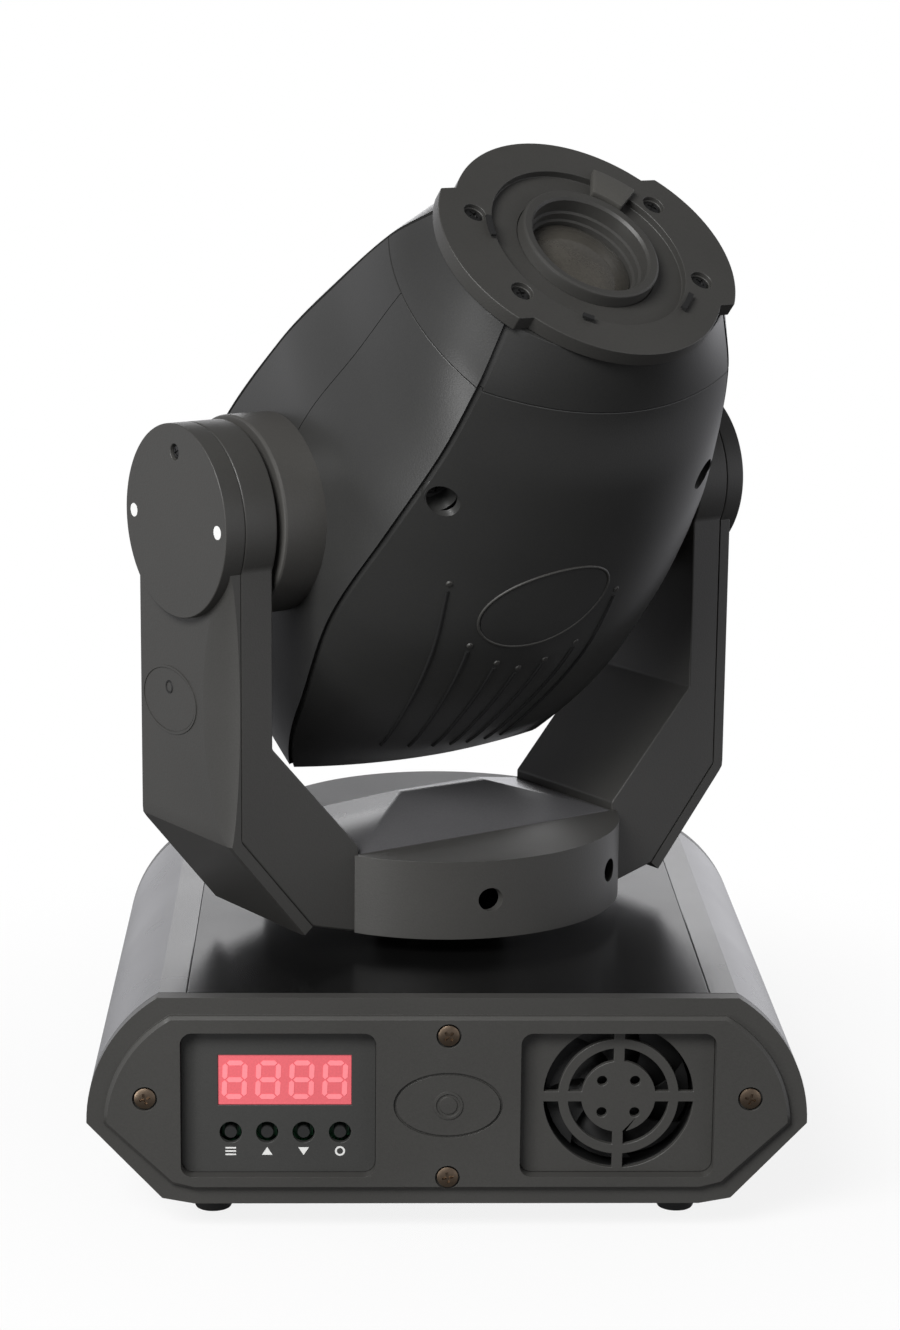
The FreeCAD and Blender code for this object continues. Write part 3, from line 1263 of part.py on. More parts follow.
def optics():
    """Chassis, light engine, wheels, lens and the fan behind them."""
    reach = d.hub_back
    inner = reach - d.wall
    deck = box("chassis_deck", (-inner, inner), (-d.deck_half, d.deck_half), (-d.deck_back, -d.deck_front))
    lugs = [box(f"chassis_lug_{side + 1}", x_span(inner, reach, side), (-d.lug_half_high, d.lug_half_high),
                (-d.lug_half_long, d.lug_half_long)) for side in (-1, 1)]
    rails = [box(f"chassis_rail_{side + 1}", x_span(d.rail_in, d.rail_out, side), (-d.rail_half, d.rail_half),
                 (-d.deck_front, d.wall_back)) for side in (-1, 1)]
    face = box("chassis_face", (-d.rail_out, d.rail_out), (-d.wall_half, d.wall_half),
               (d.wall_back, d.wall_front))
    beam = rod("chassis_beam", "Z", d.beam_radius, -d.beam_back, d.beam_front)
    bores = [rod(f"chassis_hub_{side + 1}", "X", d.spindle_bore, *x_span(inner - 2, reach + 1, side), 0, 0)
             for side in (-1, 1)]
    sub_part(cut("head_chassis", fuse("chassis_body", deck, face, *lugs, *rails), beam, *bores),
             "head_chassis", HEAD)

    core = rod("engine_core_solid", "Z", d.engine_core, -d.engine_back, -d.engine_front)
    fins = []
    for i in range(9):
        start = i * d.fin_pitch - d.engine_back
        fins.append(rod(f"engine_fin_{i}", "Z", d.fin_radius, start, start + d.fin_thickness))
    lamp = rod("engine_lamp", "Z", d.lamp_radius, -d.engine_front, d.lamp_length - d.engine_front)
    sub_part(fuse("led_engine", core, *fins, lamp), "led_engine", HEAD)

    length = d.wheel_motor_length
    low = d.colour_wheel_at - d.wheel_gap
    high = d.gobo_wheel_at + d.wheel_thickness + d.wheel_gap
    motors = [
        fuse("colour_motor", rod("colour_motor_case", "Z", d.wheel_motor_radius, low - length, low, 0,
                                 -d.wheel_offset),
             rod("colour_motor_shaft", "Z", d.wheel_shaft, low, low + d.wheel_shaft_long, 0, -d.wheel_offset)),
        fuse("gobo_motor", rod("gobo_motor_case", "Z", d.wheel_motor_radius, high, high + length, 0,
                               d.wheel_offset),
             rod("gobo_motor_shaft", "Z", d.wheel_shaft, high - d.wheel_shaft_long, high, 0, d.wheel_offset)),
    ]
    sub_part(fuse("wheel_motors", *motors), "wheel_motors", HEAD)
    wheel("colour_wheel", -d.wheel_offset, d.colour_wheel_at, 8)
    wheel("gobo_wheel", d.wheel_offset, d.gobo_wheel_at, 7)

    tip = d.plate_face + d.lens_proud
    ring_end = d.plate_back - d.lens_travel
    shelf = tip - d.lens_sunk
    ring = rod("focus_ring_solid", "Z", d.lens_ring, ring_end, tip)
    light = rod("focus_ring_light", "Z", d.lens_radius - d.lens_shelf, ring_end - 1, tip + 1)
    seat = rod("focus_ring_seat", "Z", d.lens_radius, shelf, tip + 1)
    sub_part(cut("focus_ring", ring, light, seat), "focus_ring", HEAD)
    sub_part(rod("front_lens_solid", "Z", d.lens_radius, shelf, shelf + d.lens_thickness), "front_lens", HEAD)
    fan("head_fan", HEAD, "Z", d.head_fan_size, d.head_fan_depth, d.head_fan_bore, -d.head_fan_back,
        size_of(0), size_of(0))


# ---------------------------------------------------------------- assembly

sub_part(base_pan(), "base_pan")
sub_part(top_plate(), "top_plate")
sub_part(side_cover("side_cover_left", -1), "side_cover_left")
sub_part(side_cover("side_cover_right", 1), "side_cover_right")
sub_part(front_bezel(), "front_bezel")
sub_part(rear_panel(), "rear_panel")
sub_part(base_screws(), "base_screws")
controls()
sub_part(fan_grille(), "fan_grille")
fan("base_fan", None, "Y", d.fan_size, d.fan_depth, d.fan_bore, INNER_FRONT, d.fan_x, d.fan_z)
sub_part(rubber_feet(), "rubber_feet")
sub_part(power_inlet(), "power_inlet")
for socket, socket_x in DMX.items():
    sub_part(dmx_socket(socket, socket_x, socket == "dmx_input_socket"), socket)
sub_part(power_supply(), "power_supply")
pan_drive()
yoke()
tilt_drive()
head()
doc.recompute()

# ---------------------------------------------------------------- checks and export

for thing in doc.Objects:
    if "Invalid" in thing.State or "Error" in thing.State:
        raise RuntimeError(f"{thing.Name} did not build: {thing.State}")
for thing in SUB_PARTS:
    if thing.Shape.isNull() or not thing.Shape.isValid() or not thing.Shape.Solids:
        raise RuntimeError(f"{thing.Label} is not a valid solid")

os.makedirs("parts", exist_ok=True)
for thing in SUB_PARTS:
    thing.Shape.exportStep(f"parts/{thing.Label}.step")
print(f"{len(SUB_PARTS)} sub-parts written")
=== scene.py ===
"""A stage spotlight whose head tilts in a yoke that pans on a squat base: its finishes and fine pieces."""
import json
import logging
import math
from dataclasses import dataclass, field
from enum import Enum

import bmesh
import bpy
from mathutils import Matrix, Vector


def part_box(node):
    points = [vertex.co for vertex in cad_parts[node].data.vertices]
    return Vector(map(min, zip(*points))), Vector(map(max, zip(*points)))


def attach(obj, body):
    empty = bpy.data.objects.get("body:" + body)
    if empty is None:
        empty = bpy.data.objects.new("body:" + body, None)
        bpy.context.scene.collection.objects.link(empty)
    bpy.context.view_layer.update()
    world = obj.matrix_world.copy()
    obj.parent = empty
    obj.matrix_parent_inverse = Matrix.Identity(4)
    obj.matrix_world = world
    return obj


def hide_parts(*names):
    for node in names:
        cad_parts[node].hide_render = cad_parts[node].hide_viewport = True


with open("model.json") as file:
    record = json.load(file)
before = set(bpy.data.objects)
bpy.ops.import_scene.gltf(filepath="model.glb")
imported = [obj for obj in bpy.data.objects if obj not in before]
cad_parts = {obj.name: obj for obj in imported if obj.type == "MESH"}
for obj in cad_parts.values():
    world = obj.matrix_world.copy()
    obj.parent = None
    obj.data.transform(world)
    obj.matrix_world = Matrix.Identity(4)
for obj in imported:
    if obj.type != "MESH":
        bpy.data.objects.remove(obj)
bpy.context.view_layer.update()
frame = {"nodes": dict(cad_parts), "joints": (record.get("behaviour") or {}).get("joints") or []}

LOG = logging.getLogger("moving_head")
MM = 0.001
Point = tuple[float, float, float]
Outline = list[tuple[float, float]]
Profile = tuple[tuple[float, float], ...]
Shape = bmesh.types.BMesh
Piece = bpy.types.Object
Tree = bpy.types.NodeTree
Node = bpy.types.Node
Socket = bpy.types.NodeSocket


class Body(Enum):
    """The rigid bodies that the script's own pieces ride on."""

    BASE = "base"
    BASE_FAN = "base_fan"
    YOKE = "yoke"
    HEAD = "head"
    HEAD_FAN = "head_fan"
    FOCUS = "focus"


class Side(Enum):
    """Left or right as seen from the control panel."""

    LEFT = -1
    RIGHT = 1

    @property
    def word(self) -> str:
        """The side's name as it stands in the names of pieces."""
        return self.name.lower()


def joint_named(name: str) -> dict:
    """Find a joint of the frame by its name."""
    return next(joint for joint in frame["joints"] if joint["name"] == name)


def moving_frame(origin: Vector, across: Vector, up: Vector) -> Matrix:
    """Make the matrix of a frame from its first and last axes.

    Args:
        origin: The frame's origin in the row frame, in metres.
        across: Its first axis.
        up: Its last axis.

    Returns:
        The frame's matrix.
    """
    back = up.cross(across).normalized()
    axes = Matrix((across.normalized(), back, up.normalized())).transposed()
    return Matrix.Translation(origin) @ axes.to_4x4()


TILT = joint_named("tilt")
TILT_AXIS = Vector(TILT["axis"])
TILT_CENTRE = Vector(TILT["pos_m"])
OPTIC_AXIS = Vector(joint_named("focus_turn")["axis"])
YOKE_FRAME = moving_frame(Vector((0, 0, 0)), TILT_AXIS, Vector((0, 0, 1)))
HEAD_FRAME = moving_frame(TILT_CENTRE, TILT_AXIS, OPTIC_AXIS)
BASE_FRAME = Matrix.Identity(4)


# ------------------------------------------------------------------ shader groups


def node_of(tree: Tree, kind: str, values: dict[str | int, object] | None = None, **settings: object) -> Node:
    """Add a node and set its plain properties and the values of its inputs.

    Args:
        tree: The tree that takes the node.
        kind: The node's type.
        values: The value of each input, by its name or number.
        settings: Properties to set on it.

    Returns:
        The new node.
    """
    node = tree.nodes.new(kind)
    for name, value in settings.items():
        setattr(node, name, value)
    for name, value in (values or {}).items():
        node.inputs[name].default_value = value
    return node


def wire(tree: Tree, *pairs: tuple[Socket, Socket]) -> None:
    """Link each pair of an output and an input."""
    for source, target in pairs:
        tree.links.new(source, target)


def ports(tree: Tree, way: str, kinds: dict[str, str]) -> list[bpy.types.NodeTreeInterfaceSocket]:
    """Add a group's inputs or outputs, from the kind of each socket by its name."""
    return [tree.interface.new_socket(name, in_out=way, socket_type=f"NodeSocket{kind}")
            for name, kind in kinds.items()]


def grain_group() -> Tree:
    """Build the shader group for the fine grain of moulded plastic and paint.

    Returns:
        A group with a height, a tone and a patch mask that change over the surface.
    """
    tree = bpy.data.node_groups.new("moulded_grain", "ShaderNodeTree")
    ports(tree, "INPUT", {"Vector": "Vector", "Grain Scale": "Float", "Patch Scale": "Float"})
    ports(tree, "OUTPUT", {"Height": "Float", "Tone": "Float", "Patches": "Float"})
    enter = node_of(tree, "NodeGroupInput")
    leave = node_of(tree, "NodeGroupOutput")
    fine = node_of(tree, "ShaderNodeTexNoise", {"Detail": 3})
    broad = node_of(tree, "ShaderNodeTexNoise", {"Detail": 4})
    spots = node_of(tree, "ShaderNodeTexVoronoi")
    blend = node_of(tree, "ShaderNodeMath", {1: 0.6}, operation="MULTIPLY_ADD")
    for texture, scale in ((fine, "Grain Scale"), (spots, "Grain Scale"), (broad, "Patch Scale")):
        wire(tree, (enter.outputs["Vector"], texture.inputs["Vector"]), (enter.outputs[scale], texture.inputs["Scale"]))
    wire(
        tree,
        (spots.outputs["Distance"], blend.inputs[0]),
        (fine.outputs["Fac"], blend.inputs[2]),
        (blend.outputs[0], leave.inputs["Height"]),
        (fine.outputs["Fac"], leave.inputs["Tone"]),
        (broad.outputs["Fac"], leave.inputs["Patches"]),
    )
    return tree


def dust_group() -> Tree:
    """Build the shader group for the light dust that settles on faces that look up.

    Returns:
        A group with one mask.
    """
    tree = bpy.data.node_groups.new("settled_dust", "ShaderNodeTree")
    ports(tree, "INPUT", {"Vector": "Vector", "Amount": "Float"})
    ports(tree, "OUTPUT", {"Mask": "Float"})
    enter = node_of(tree, "NodeGroupInput")
    leave = node_of(tree, "NodeGroupOutput")
    shape = node_of(tree, "ShaderNodeNewGeometry")
    split = node_of(tree, "ShaderNodeSeparateXYZ")
    noise = node_of(tree, "ShaderNodeTexNoise", {"Scale": 90, "Detail": 6})
    level = node_of(tree, "ShaderNodeMapRange", {"From Min": 0.35, "From Max": 1.0})
    product = node_of(tree, "ShaderNodeMath", operation="MULTIPLY")
    scaled = node_of(tree, "ShaderNodeMath", operation="MULTIPLY")
    wire(
        tree,
        (shape.outputs["Normal"], split.inputs[0]),
        (split.outputs["Z"], level.inputs["Value"]),
        (enter.outputs["Vector"], noise.inputs["Vector"]),
        (level.outputs[0], product.inputs[0]),
        (noise.outputs["Fac"], product.inputs[1]),
        (product.outputs[0], scaled.inputs[0]),
        (enter.outputs["Amount"], scaled.inputs[1]),
        (scaled.outputs[0], leave.inputs["Mask"]),
    )
    return tree


@dataclass(frozen=True)
class Finish:
    """One finish: its colour, gloss, grain and dust, and the record's slot that it stands for."""

    name: str
    slot: str
    colour: Point
    roughness: float = 0.45
    spread: float = 0.10
    metallic: float = 0.0
    grain: float = 0.15
    grain_scale: float = 1400.0
    patch_scale: float = 14.0
    tone: float = 0.12
    dust: float = 0.0
    coat: float = 0.0
    glow: float = 0.0
    ior: float = 1.5

    def material(self) -> bpy.types.Material:
        """Build the material once, and find it again after that.

        Returns:
            The material.
        """
        found = bpy.data.materials.get(self.name)
        if found:
            return found
        made = bpy.data.materials.new(self.name)
        made.use_nodes = True
        tree = made.node_tree
        shader = tree.nodes["Principled BSDF"]
        values = {"Metallic": self.metallic, "IOR": self.ior, "Coat Weight": self.coat, "Coat Roughness": 0.12}
        for name, value in values.items():
            shader.inputs[name].default_value = value
        place = node_of(tree, "ShaderNodeTexCoord")
        grain = node_of(tree, "ShaderNodeGroup", node_tree=GROUPS["grain"])
        grain.inputs["Grain Scale"].default_value = self.grain_scale
        grain.inputs["Patch Scale"].default_value = self.patch_scale
        colour = self._toned(tree, grain)
        if self.dust:
            colour = self._dusted(tree, place, colour)
        limits = {"To Min": max(self.roughness - self.spread, 0.02), "To Max": self.roughness + self.spread}
        rough = node_of(tree, "ShaderNodeMapRange", limits)
        bump = node_of(tree, "ShaderNodeBump", {"Strength": self.grain, "Distance": 0.0002})
        wire(
            tree,
            (place.outputs["Object"], grain.inputs["Vector"]),
            (colour, shader.inputs["Base Color"]),
            (grain.outputs["Patches"], rough.inputs["Value"]),
            (rough.outputs[0], shader.inputs["Roughness"]),
            (grain.outputs["Height"], bump.inputs["Height"]),
            (bump.outputs[0], shader.inputs["Normal"]),
        )
        if self.glow:
            wire(tree, (colour, shader.inputs["Emission Color"]))
            shader.inputs["Emission Strength"].default_value = self.glow
        return made

    def _toned(self, tree: Tree, grain: Node) -> Socket:
        """Vary the colour by the grain's tone and patches.

        Args:
            tree: The material's tree.
            grain: The grain group's node.

        Returns:
            The socket that carries the colour.
        """
        ramp = node_of(tree, "ShaderNodeValToRGB")
        low, high = ramp.color_ramp.elements
        low.position, high.position = 0.3, 0.7
        low.color = (*(part * (1 - self.tone) for part in self.colour), 1)
        high.color = (*(min(part * (1 + self.tone), 1) for part in self.colour), 1)
        mean = node_of(tree, "ShaderNodeMath", {1: 0.5}, operation="MULTIPLY_ADD")
        half = node_of(tree, "ShaderNodeMath", {1: 0.5}, operation="MULTIPLY")
        wire(
            tree,
            (grain.outputs["Patches"], half.inputs[0]),
            (grain.outputs["Tone"], mean.inputs[0]),
            (half.outputs[0], mean.inputs[2]),
            (mean.outputs[0], ramp.inputs[0]),
        )
        return ramp.outputs["Color"]

    def _dusted(self, tree: Tree, place: Node, colour: Socket) -> Socket:
        """Lay pale dust over the colour where the surface looks up.

        Args:
            tree: The material's tree.
            place: The texture coordinate node.
            colour: The socket with the bare colour.

        Returns:
            The socket that carries the dusted colour.
        """
        dust = node_of(tree, "ShaderNodeGroup", node_tree=GROUPS["dust"])
        dust.inputs["Amount"].default_value = self.dust
        mix = node_of(tree, "ShaderNodeMix", {"B": DUST_COLOUR}, data_type="RGBA")
        wire(
            tree,
            (place.outputs["Object"], dust.inputs["Vector"]),
            (dust.outputs["Mask"], mix.inputs["Factor"]),
            (colour, mix.inputs["A"]),
        )
        return mix.outputs["Result"]


GROUPS = {"grain": grain_group(), "dust": dust_group()}
DUST_COLOUR = (0.42, 0.41, 0.39, 1)


class Finishes:
    """Every finish on the light, under plain names."""

    CASING = Finish("casing_satin", "casing_plastic", (0.047, 0.046, 0.043), 0.42, 0.07, dust=0.03)
    FLANK = Finish("flank_gloss", "casing_plastic", (0.036, 0.036, 0.037), 0.26, 0.06, grain=0.10, dust=0.03)
    # The top plate's near-black colour is darker than the casing's plastic: partly the plate's own black, partly
    # painted shade for the dark reflection the top shows.
    TOP = Finish("top_sheen", "casing_plastic", (0.004, 0.004, 0.004), 0.24, 0.07, grain=0.10, ior=1.28)
    PANEL = Finish("panel_black", "casing_plastic", (0.044, 0.044, 0.042), 0.40, 0.08)
    YOKE = Finish("yoke_satin", "yoke_plastic", (0.046, 0.045, 0.042), 0.44, 0.07, dust=0.03)
    # The bridge cover is a lighter, slightly blue copy of the yoke's plastic: a painted sheen, highlight painted into
    # its colour.
    BRIDGE = Finish("bridge_sheen", "yoke_plastic", (0.095, 0.094, 0.098), 0.26, 0.06, grain=0.10, dust=0.03)
    SHELL = Finish("shell_satin", "head_plastic", (0.034, 0.034, 0.033), 0.34, 0.07, grain=0.12, dust=0.02)
    PLATE = Finish("plate_satin", "head_plastic", (0.042, 0.041, 0.038), 0.48, 0.08, dust=0.02)
    PAD = Finish("pad_worn", "head_plastic", (0.070, 0.068, 0.062), 0.42, 0.08)
    # A near-black copy of the head's plastic: painted shade for grooves, notches and screw wells.
    GROOVE = Finish("groove_dark", "head_plastic", (0.012, 0.012, 0.012), 0.6)
    RING = Finish("lens_ring", "lens_ring_plastic", (0.044, 0.043, 0.040), 0.44, 0.08)
    SCREW = Finish("panel_screw", "screw_brass", (0.24, 0.18, 0.13), 0.32, 0.1, metallic=1.0, grain=0.05)
    BLACK_SCREW = Finish("dark_screw", "screw_black", (0.10, 0.10, 0.10), 0.4, 0.1, metallic=1.0)
    RED = Finish("window_red", "display_red", (0.54, 0.10, 0.115), 0.2, 0.04, grain=0.02, coat=0.3, glow=0.50)
    DIGITS = Finish("digit_light", "display_red", (0.68, 0.18, 0.20), 0.3, 0.05, grain=0.02, glow=0.58)
    MODULE = Finish("display_back", "display_black", (0.05, 0.02, 0.02), 0.5)
    BOARD = Finish("board_green", "circuit_board", (0.03, 0.13, 0.06), 0.35, 0.1)
    BUTTON = Finish("button_satin", "button_black", (0.022, 0.022, 0.022), 0.35, 0.08)
    INK = Finish("white_ink", "casing_plastic", (0.75, 0.75, 0.73), 0.6, 0.05, grain=0.05, tone=0.05)
    YOKE_INK = Finish("white_mark", "yoke_plastic", (0.85, 0.85, 0.84), 0.5, 0.05, grain=0.05, tone=0.04)
    # The fan parts are black plastic darkened further: painted shade behind the grilles.
    FAN = Finish("fan_soot", "fan_black", (0.006, 0.006, 0.006), 0.5, 0.08)
    HUB = Finish("hub_satin", "yoke_plastic", (0.066, 0.064, 0.060), 0.40, 0.07)
    RUBBER = Finish("foot_matt", "foot_rubber", (0.018, 0.018, 0.018), 0.8, 0.08, grain=0.4)
    SOCKET = Finish("socket_satin", "socket_black", (0.025, 0.025, 0.025), 0.4, 0.08)
    ZINC = Finish("zinc_sheet", "supply_steel", (0.55, 0.56, 0.57), 0.35, 0.1, metallic=1.0, patch_scale=60)
    STEEL = Finish("ground_steel", "bearing_steel", (0.58, 0.58, 0.59), 0.25, 0.08, metallic=1.0)
    ALUMINIUM = Finish("turned_aluminium", "pulley_aluminium", (0.68, 0.69, 0.70), 0.3, 0.08, metallic=1.0)
    MOTOR = Finish("motor_can", "motor_steel", (0.25, 0.25, 0.26), 0.35, 0.1, metallic=1.0)
    BELT = Finish("belt_matt", "belt_rubber", (0.02, 0.02, 0.02), 0.7, 0.08)
    SINK = Finish("fin_aluminium", "heatsink_aluminium", (0.55, 0.55, 0.56), 0.35, 0.1, metallic=1.0)
    GLASS = Finish("lens_dark_coated", "lens_glass", (0.062, 0.057, 0.048), 0.10, 0.03, grain=0.0, coat=1.0,
                   patch_scale=60, tone=0.35, ior=1.6)
    FILTER = Finish("dichroic_glass", "filter_glass", (0.35, 0.30, 0.55), 0.08, 0.04, grain=0.0, metallic=0.6)
    GOBO = Finish("gobo_sheet", "gobo_steel", (0.5, 0.5, 0.5), 0.3, 0.1, metallic=1.0)


# ------------------------------------------------------------------ mesh helpers


def linked(name: str, mesh: bpy.types.Mesh) -> Piece:
    """Put a mesh in the scene.

    Args:
        name: The new object's name.
        mesh: Its mesh.

    Returns:
        The object.
    """
    made = bpy.data.objects.new(name, mesh)
    bpy.context.scene.collection.objects.link(made)
    return made


def settled(piece: Piece) -> Piece:
    """Turn a piece's modifiers into a plain mesh.

    Args:
        piece: The piece with live modifiers.

    Returns:
        The same piece, with none.
    """
    graph = bpy.context.evaluated_depsgraph_get()
    mesh = bpy.data.meshes.new_from_object(piece.evaluated_get(graph))
    piece.modifiers.clear()
    piece.data = mesh
    return piece


def smoothed(piece: Piece, angle: float = 34.0) -> Piece:
    """Shade a piece smooth.

    Args:
        piece: The piece.
        angle: The angle in degrees past which an edge stays sharp.

    Returns:
        The same piece.
    """
    piece.data.shade_smooth()
    piece.data.set_sharp_from_angle(angle=math.radians(angle))
    return piece


def edge_rounded(piece: Piece, width: float, segments: int = 2) -> Piece:
    """Round a piece's hard edges.

    Args:
        piece: The piece.
        width: The rounding's width in millimetres.
        segments: How many faces it takes.

    Returns:
        The same piece as a plain mesh.
    """
    bevel = piece.modifiers.new("edges", "BEVEL")
    bevel.width = width * MM
    bevel.segments = segments
    bevel.limit_method = "ANGLE"
    bevel.angle_limit = math.radians(38)
    bevel.use_clamp_overlap = True
    return settled(piece)


def from_bmesh(name: str, shape: Shape, where: Matrix) -> Piece:
    """Make a piece of a bmesh drawn in millimetres in a local frame.

    Args:
        name: The piece's name.
        shape: Its shape, which is freed.
        where: The local frame's matrix.

    Returns:
        The piece, with its place in its mesh.
    """
    bmesh.ops.remove_doubles(shape, verts=shape.verts, dist=1e-4)
    bmesh.ops.recalc_face_normals(shape, faces=shape.faces)
    bmesh.ops.transform(shape, matrix=where @ Matrix.Scale(MM, 4), verts=shape.verts)
    mesh = bpy.data.meshes.new(name)
    shape.to_mesh(mesh)
    shape.free()
    return linked(name, mesh)


def carried_copy(node: str) -> Piece:
    """Copy a CAD node's mesh as one joined surface, ready for rounding.

    Args:
        node: The node's name.

    Returns:
        A new object with the merged copy.
    """
    mesh = frame["nodes"][node].data.copy()
    mesh.name = f"{node}_finished"
    mesh.materials.clear()
    shape = bmesh.new()
    shape.from_mesh(mesh)
    bmesh.ops.remove_doubles(shape, verts=shape.verts, dist=2e-6)
    bmesh.ops.dissolve_limit(shape, angle_limit=math.radians(0.6), verts=shape.verts, edges=shape.edges)
    shape.to_mesh(mesh)
    shape.free()
    return linked(f"{node}_finished", mesh)


def revolve(shape: Shape, profile: Outline | Profile, steps: int = 48) -> None:
    """Turn a profile of radius and height round the local Z axis.

    Args:
        shape: The bmesh that takes the surface.
        profile: Points of radius and height in millimetres.
        steps: How many faces go round.
    """
    verts = [shape.verts.new((radius, 0, height)) for radius, height in profile]
    edges = [shape.edges.new(pair) for pair in zip(verts, verts[1:])]
    bmesh.ops.spin(shape, geom=verts + edges, cent=(0, 0, 0), axis=(0, 0, 1), angle=2 * math.pi, steps=steps,
                   use_merge=True)


def bridge(shape: Shape, rings: list[list[bmesh.types.BMVert]], closed: bool = True) -> None:
    """Lay faces between each ring of vertices and the next.

    Args:
        shape: The bmesh that holds them.
        rings: The rings, with as many vertices each.
        closed: Whether each ring joins its own start.
    """
    count = len(rings[0])
    for first, second in zip(rings, rings[1:]):
        for i in range(count if closed else count - 1):
            k = (i + 1) % count
            shape.faces.new((first[i], first[k], second[k], second[i]))


def slab(shape: Shape, corners: Outline, low: float, high: float) -> None:
    """Add a flat slab with an outline in the local XY plane.

    Args:
        shape: The bmesh that takes the slab.
        corners: The outline's corners in millimetres.
        low: Height of its lower face.
        high: Height of its upper face.
    """
    bottom = [shape.verts.new((x, y, low)) for x, y in corners]
    top = [shape.verts.new((x, y, high)) for x, y in corners]
    shape.faces.new(list(reversed(bottom)))
    shape.faces.new(top)
    bridge(shape, [bottom, top])


def oval(long: float, short: float, steps: int = 64) -> Outline:
    """Corners of an oval about the origin."""
    turns = [2 * math.pi * i / steps for i in range(steps)]
    return [(long * math.cos(turn), short * math.sin(turn)) for turn in turns]


def sector(radii: tuple[float, float], start: float, end: float, steps: int) -> Outline:
    """Corners of a piece of a flat ring.

    Args:
        radii: Its outer and its inner radius.
        start: The turn in degrees where it starts.
        end: The turn where it ends.
        steps: How many edges each arc has.

    Returns:
        The corners, in millimetres.
    """
    turns = [math.radians(start + (end - start) * i / steps) for i in range(steps + 1)]
    outer, inner = ([(radius * math.cos(turn), radius * math.sin(turn)) for turn in turns] for radius in radii)
    return outer + inner[::-1]


def band(shape: Shape, outer: Outline, inner: Outline, low: float, high: float) -> None:
    """Add a closed ring between two outlines with the same number of corners.

    Args:
        shape: The bmesh that takes the ring.
        outer: The outer outline.
        inner: The inner outline.
        low: Height of its lower face.
        high: Height of its upper face.
    """
    rows = [[shape.verts.new((x, y, z)) for x, y in line]
            for line, z in ((outer, low), (outer, high), (inner, high), (inner, low))]
    bridge(shape, rows + rows[:1])


def dressed(piece: Piece, finish: Finish, body: Body, *nodes: str) -> Piece:
    """Give a piece its finish, its body and the nodes it stands for.

    Args:
        piece: The piece.
        finish: Its finish.
        body: The body it rides on.
        nodes: CAD nodes that it replaces.

    Returns:
        The same piece.
    """
    piece.data.materials.clear()
    piece.data.materials.append(finish.material())
    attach(piece, body.value)
    if nodes:
        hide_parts(*nodes)
    LOG.info("%s rides on %s", piece.name, body.value)
    return piece


def built(name: str, shape: Shape, where: Matrix, finish: Finish, body: Body, *nodes: str,
          angle: float = 34.0) -> Piece:
    """Make a smooth, dressed piece of a bmesh drawn in millimetres in a local frame."""
    return dressed(smoothed(from_bmesh(name, shape, where), angle), finish, body, *nodes)


def refined(node: str, finish: Finish, body: Body, width: float = 0.5, angle: float = 34.0) -> Piece:
    """Replace a CAD node by a copy with rounded edges and a finish.

    Args:
        node: The node's name.
        finish: The copy's finish.
        body: The body it rides on.
        width: The rounding's width in millimetres.
        angle: The angle in degrees past which an edge stays sharp.

    Returns:
        The copy.
    """
    piece = smoothed(edge_rounded(carried_copy(node), width), angle)
    weighting = piece.modifiers.new("flat_faces", "WEIGHTED_NORMAL")
    weighting.weight = 80
    weighting.keep_sharp = True
    return dressed(settled(piece), finish, body, node)


def coated(finish: Finish, *nodes: str) -> None:
    """Give CAD nodes that stay as they are a finish.

    Args:
        finish: The finish.
        nodes: The nodes' names.
    """
    for node in nodes:
        mesh = frame["nodes"][node].data
        mesh.materials.clear()
        mesh.materials.append(finish.material())


# ------------------------------------------------------------------ geometry node trees


class Scatter:
    """A tree that puts a template at every vertex of a carrier, turned by its attribute."""

    def __init__(self) -> None:
        """Build the tree with its named inputs."""
        self.tree = bpy.data.node_groups.new("placed_copies", "GeometryNodeTree")
        kinds = {"Places": "Geometry", "Template": "Object", "Size": "Float", "Finish": "Material"}
        _, self.template, self.size, self.finish = ports(self.tree, "INPUT", kinds)
        ports(self.tree, "OUTPUT", {"Copies": "Geometry"})
        enter = node_of(self.tree, "NodeGroupInput")
        leave = node_of(self.tree, "NodeGroupOutput")
        model = node_of(self.tree, "GeometryNodeObjectInfo")
        turn = node_of(self.tree, "GeometryNodeInputNamedAttribute", {"Name": "turn"}, data_type="FLOAT_VECTOR")
        place = node_of(self.tree, "GeometryNodeInstanceOnPoints")
        real = node_of(self.tree, "GeometryNodeRealizeInstances")
        coat = node_of(self.tree, "GeometryNodeSetMaterial")
        wire(
            self.tree,
            (enter.outputs["Template"], model.inputs["Object"]),
            (enter.outputs["Places"], place.inputs["Points"]),
            (model.outputs["Geometry"], place.inputs["Instance"]),
            (turn.outputs["Attribute"], place.inputs["Rotation"]),
            (enter.outputs["Size"], place.inputs["Scale"]),
            (place.outputs[0], real.inputs[0]),
            (real.outputs[0], coat.inputs["Geometry"]),
            (enter.outputs["Finish"], coat.inputs["Material"]),
            (coat.outputs[0], leave.inputs[0]),
        )

    def spread(self, name: str, template: Piece, places: list[Matrix], finish: Finish, body: Body,
               replaces: tuple[str, ...] = ()) -> Piece:
        """Make one piece of copies of a template.

        Args:
            name: The piece's name.
            template: The object to copy, which is removed afterwards.
            places: A matrix for each copy.
            finish: The piece's finish.
            body: The body it rides on.
            replaces: CAD nodes that it stands for.

        Returns:
            The piece.
        """
        mesh = bpy.data.meshes.new(name)
        mesh.from_pydata([tuple(place.to_translation()) for place in places], [], [])
        turns = mesh.attributes.new("turn", "FLOAT_VECTOR", "POINT")
        for item, place in zip(turns.data, places):
            item.vector = place.to_euler("XYZ")
        piece = linked(name, mesh)
        modifier = piece.modifiers.new("copies", "NODES")
        modifier.node_group = self.tree
        modifier[self.template.identifier] = template
        modifier[self.size.identifier] = 1.0
        modifier[self.finish.identifier] = finish.material()
        settled(piece)
        bpy.data.objects.remove(template)
        return dressed(smoothed(piece), finish, body, *replaces)


